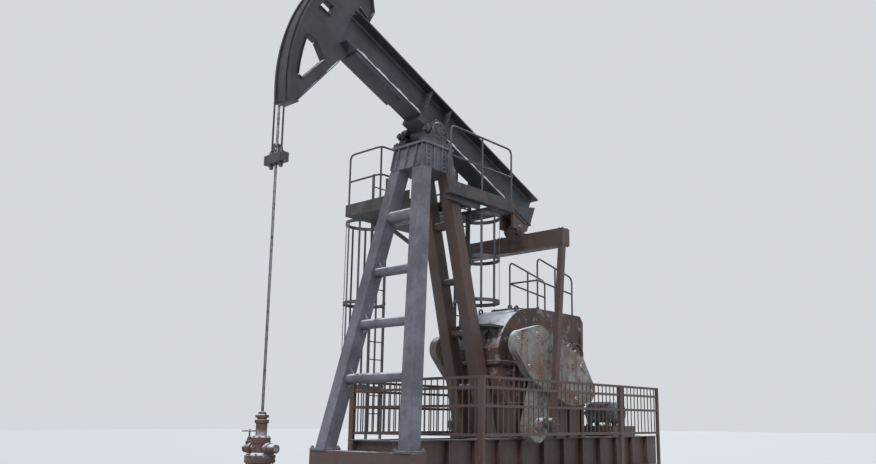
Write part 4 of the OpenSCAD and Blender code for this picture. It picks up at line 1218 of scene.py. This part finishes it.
class PUMPJACK_OT_ladder_fittings(bpy.types.Operator):
    """Strap bolts of the safety cages and brackets of the ladders"""
    bl_idname = "pumpjack.ladder_fittings"
    bl_label = "Ladder fittings"

    def execute(self, context):
        bm = bmesh.new()
        for cage, sign, levels in (("ladder_left", 1, (2.28, 3.8, 5.32)),
                                   ("ladder_rear", -1, (3.66, 4.4, 5.14))):
            ladder = box_of(cage)[2]
            for z in levels:
                for side in (-1, 1):
                    for dy in (-0.012, 0.03):
                        bolt(bm, (ladder.x + side * 0.1913, ladder.y + sign * dy, z), side * X, 0.3)
                for turn in (-30, 10, 50, 90, 130, 170, 210):
                    t = radians(turn)
                    centre = Vector((ladder.x, ladder.y + sign * 0.3551, z))
                    out = Vector((cos(t), sign * sin(t), 0))
                    bolt(bm, centre + out * 0.367, -out, 0.26)
        # Stays from the left ladder back to the platform's edge
        low, _, ladder = box_of("ladder_left")
        for side in (-1, 1):
            block(bm, (0.008, 0.07, 0.05), shift(ladder.x + side * 0.165, low.y - 0.02, 5.25), 0.002)
        piece(bm, "cage_bolts", "dark_steel", "root")
        return {"FINISHED"}


class PUMPJACK_OT_stage(bpy.types.Operator):
    """Floor, soft light and the camera at the photograph's angle"""
    bl_idname = "pumpjack.stage"
    bl_label = "Stage"

    def execute(self, context):
        scene = context.scene
        scene.view_settings.view_transform = "Standard"
        bm = bmesh.new()
        bmesh.ops.create_grid(bm, x_segments=1, y_segments=1, size=160.0)
        floor_mesh = bpy.data.meshes.new("floor")
        bm.to_mesh(floor_mesh)
        bm.free()
        floor = bpy.data.objects.new("floor", floor_mesh)
        scene.collection.objects.link(floor)
        finish, tree, _ = new_finish("pale floor")
        shader = add_node(tree, "BsdfPrincipled", {"Base Color": "#cfd2d6", "Roughness": 0.9})
        add_node(tree, "OutputMaterial", {"Surface": shader})
        floor_mesh.materials.append(finish)
        self.lights(scene)
        self.camera(scene)
        return {"FINISHED"}

    def lights(self, scene):
        world = bpy.data.worlds.new("soft sky")
        scene.world = world
        world.use_nodes = True
        tree = world.node_tree
        tree.nodes.clear()
        # The sky looks paler to the camera and in gloss than it lights
        seen = combined(tree, "MAXIMUM", *(add_node(tree, "LightPath", out=ray)
                                           for ray in ("Is Camera Ray", "Is Glossy Ray")))
        lit = add_node(tree, "Background", {"Color": "#e6ebf2", "Strength": 0.55})
        shown = add_node(tree, "Background", {"Color": "#d5d9de", "Strength": 1.0})
        add_node(tree, "OutputWorld", {"Surface": add_node(tree, "MixShader", {0: seen, 1: lit, 2: shown})})
        for name, direction, power, size in (
                ("key light", (0.75, 0.25, -0.6), 2.1, 20), ("side light", (0.1, 1.0, -0.35), 0.9, 40),
                ("back light", (-0.9, -0.5, -0.5), 0.9, 30)):
            lamp = bpy.data.lights.new(name, "SUN")
            lamp.energy = power
            lamp.angle = radians(size)
            made = bpy.data.objects.new(name, lamp)
            made.rotation_euler = Vector(direction).to_track_quat("-Z", "Y").to_euler()
            scene.collection.objects.link(made)

    def camera(self, scene):
        lens = bpy.data.cameras.new("camera")
        # Fitted to the photo, in pixels: its width and middle, the focal length and the lens's own middle
        wide, centre_x, centre_y = 876, 438, 232
        focal, lens_x, lens_y = 803.1, 488.6, 273.5
        lens.sensor_width = 36.0
        lens.lens = focal / wide * lens.sensor_width
        lens.shift_x = -(lens_x - centre_x) / wide
        lens.shift_y = (lens_y - centre_y) / wide
        made = bpy.data.objects.new("camera", lens)
        turn = (Matrix.Rotation(radians(39.485 - 90), 4, "Z") @ Matrix.Rotation(radians(90 + 10.539), 4, "X")
                @ Matrix.Rotation(radians(0.25), 4, "Z"))
        made.matrix_world = shift(-8.953, -8.783, 1.649) @ turn
        scene.collection.objects.link(made)
        scene.camera = made


class PUMPJACK_PT_panel(bpy.types.Panel):
    """The pumpjack's operators and values"""
    bl_idname = "PUMPJACK_PT_panel"
    bl_label = "Pumpjack"
    bl_space_type = "VIEW_3D"
    bl_region_type = "UI"
    bl_category = "Pumpjack"

    def draw(self, context):
        for group in (sizes(), colours()):
            for key in group.bl_rna.properties.keys():
                if key not in ("rna_type", "name"):
                    self.layout.prop(group, key)
        for operator in OPERATORS:
            self.layout.operator(operator.bl_idname)


OPERATORS = (
    PUMPJACK_OT_finishes, PUMPJACK_OT_rocking_beam, PUMPJACK_OT_horsehead, PUMPJACK_OT_saddle_fittings,
    PUMPJACK_OT_tower_fittings, PUMPJACK_OT_railings, PUMPJACK_OT_ladder_fittings, PUMPJACK_OT_crank_fittings,
    PUMPJACK_OT_linkage_fittings, PUMPJACK_OT_gearbox_fittings, PUMPJACK_OT_belt_drive,
    PUMPJACK_OT_base_fittings,
    PUMPJACK_OT_well_fittings, PUMPJACK_OT_rope_strands, PUMPJACK_OT_stage,
)
CLASSES = (PumpjackSizes, PumpjackColours) + OPERATORS + (PUMPJACK_PT_panel,)


def register():
    for cls in CLASSES:
        bpy.utils.register_class(cls)
    bpy.types.Scene.pumpjack_sizes = bpy.props.PointerProperty(type=PumpjackSizes)
    bpy.types.Scene.pumpjack_colours = bpy.props.PointerProperty(type=PumpjackColours)


def unregister():
    del bpy.types.Scene.pumpjack_sizes
    del bpy.types.Scene.pumpjack_colours
    for cls in reversed(CLASSES):
        bpy.utils.unregister_class(cls)


def main():
    register()
    for operator in OPERATORS:
        group, name = operator.bl_idname.split(".")
        getattr(getattr(bpy.ops, group), name)()


if __name__ == "__main__":
    main()
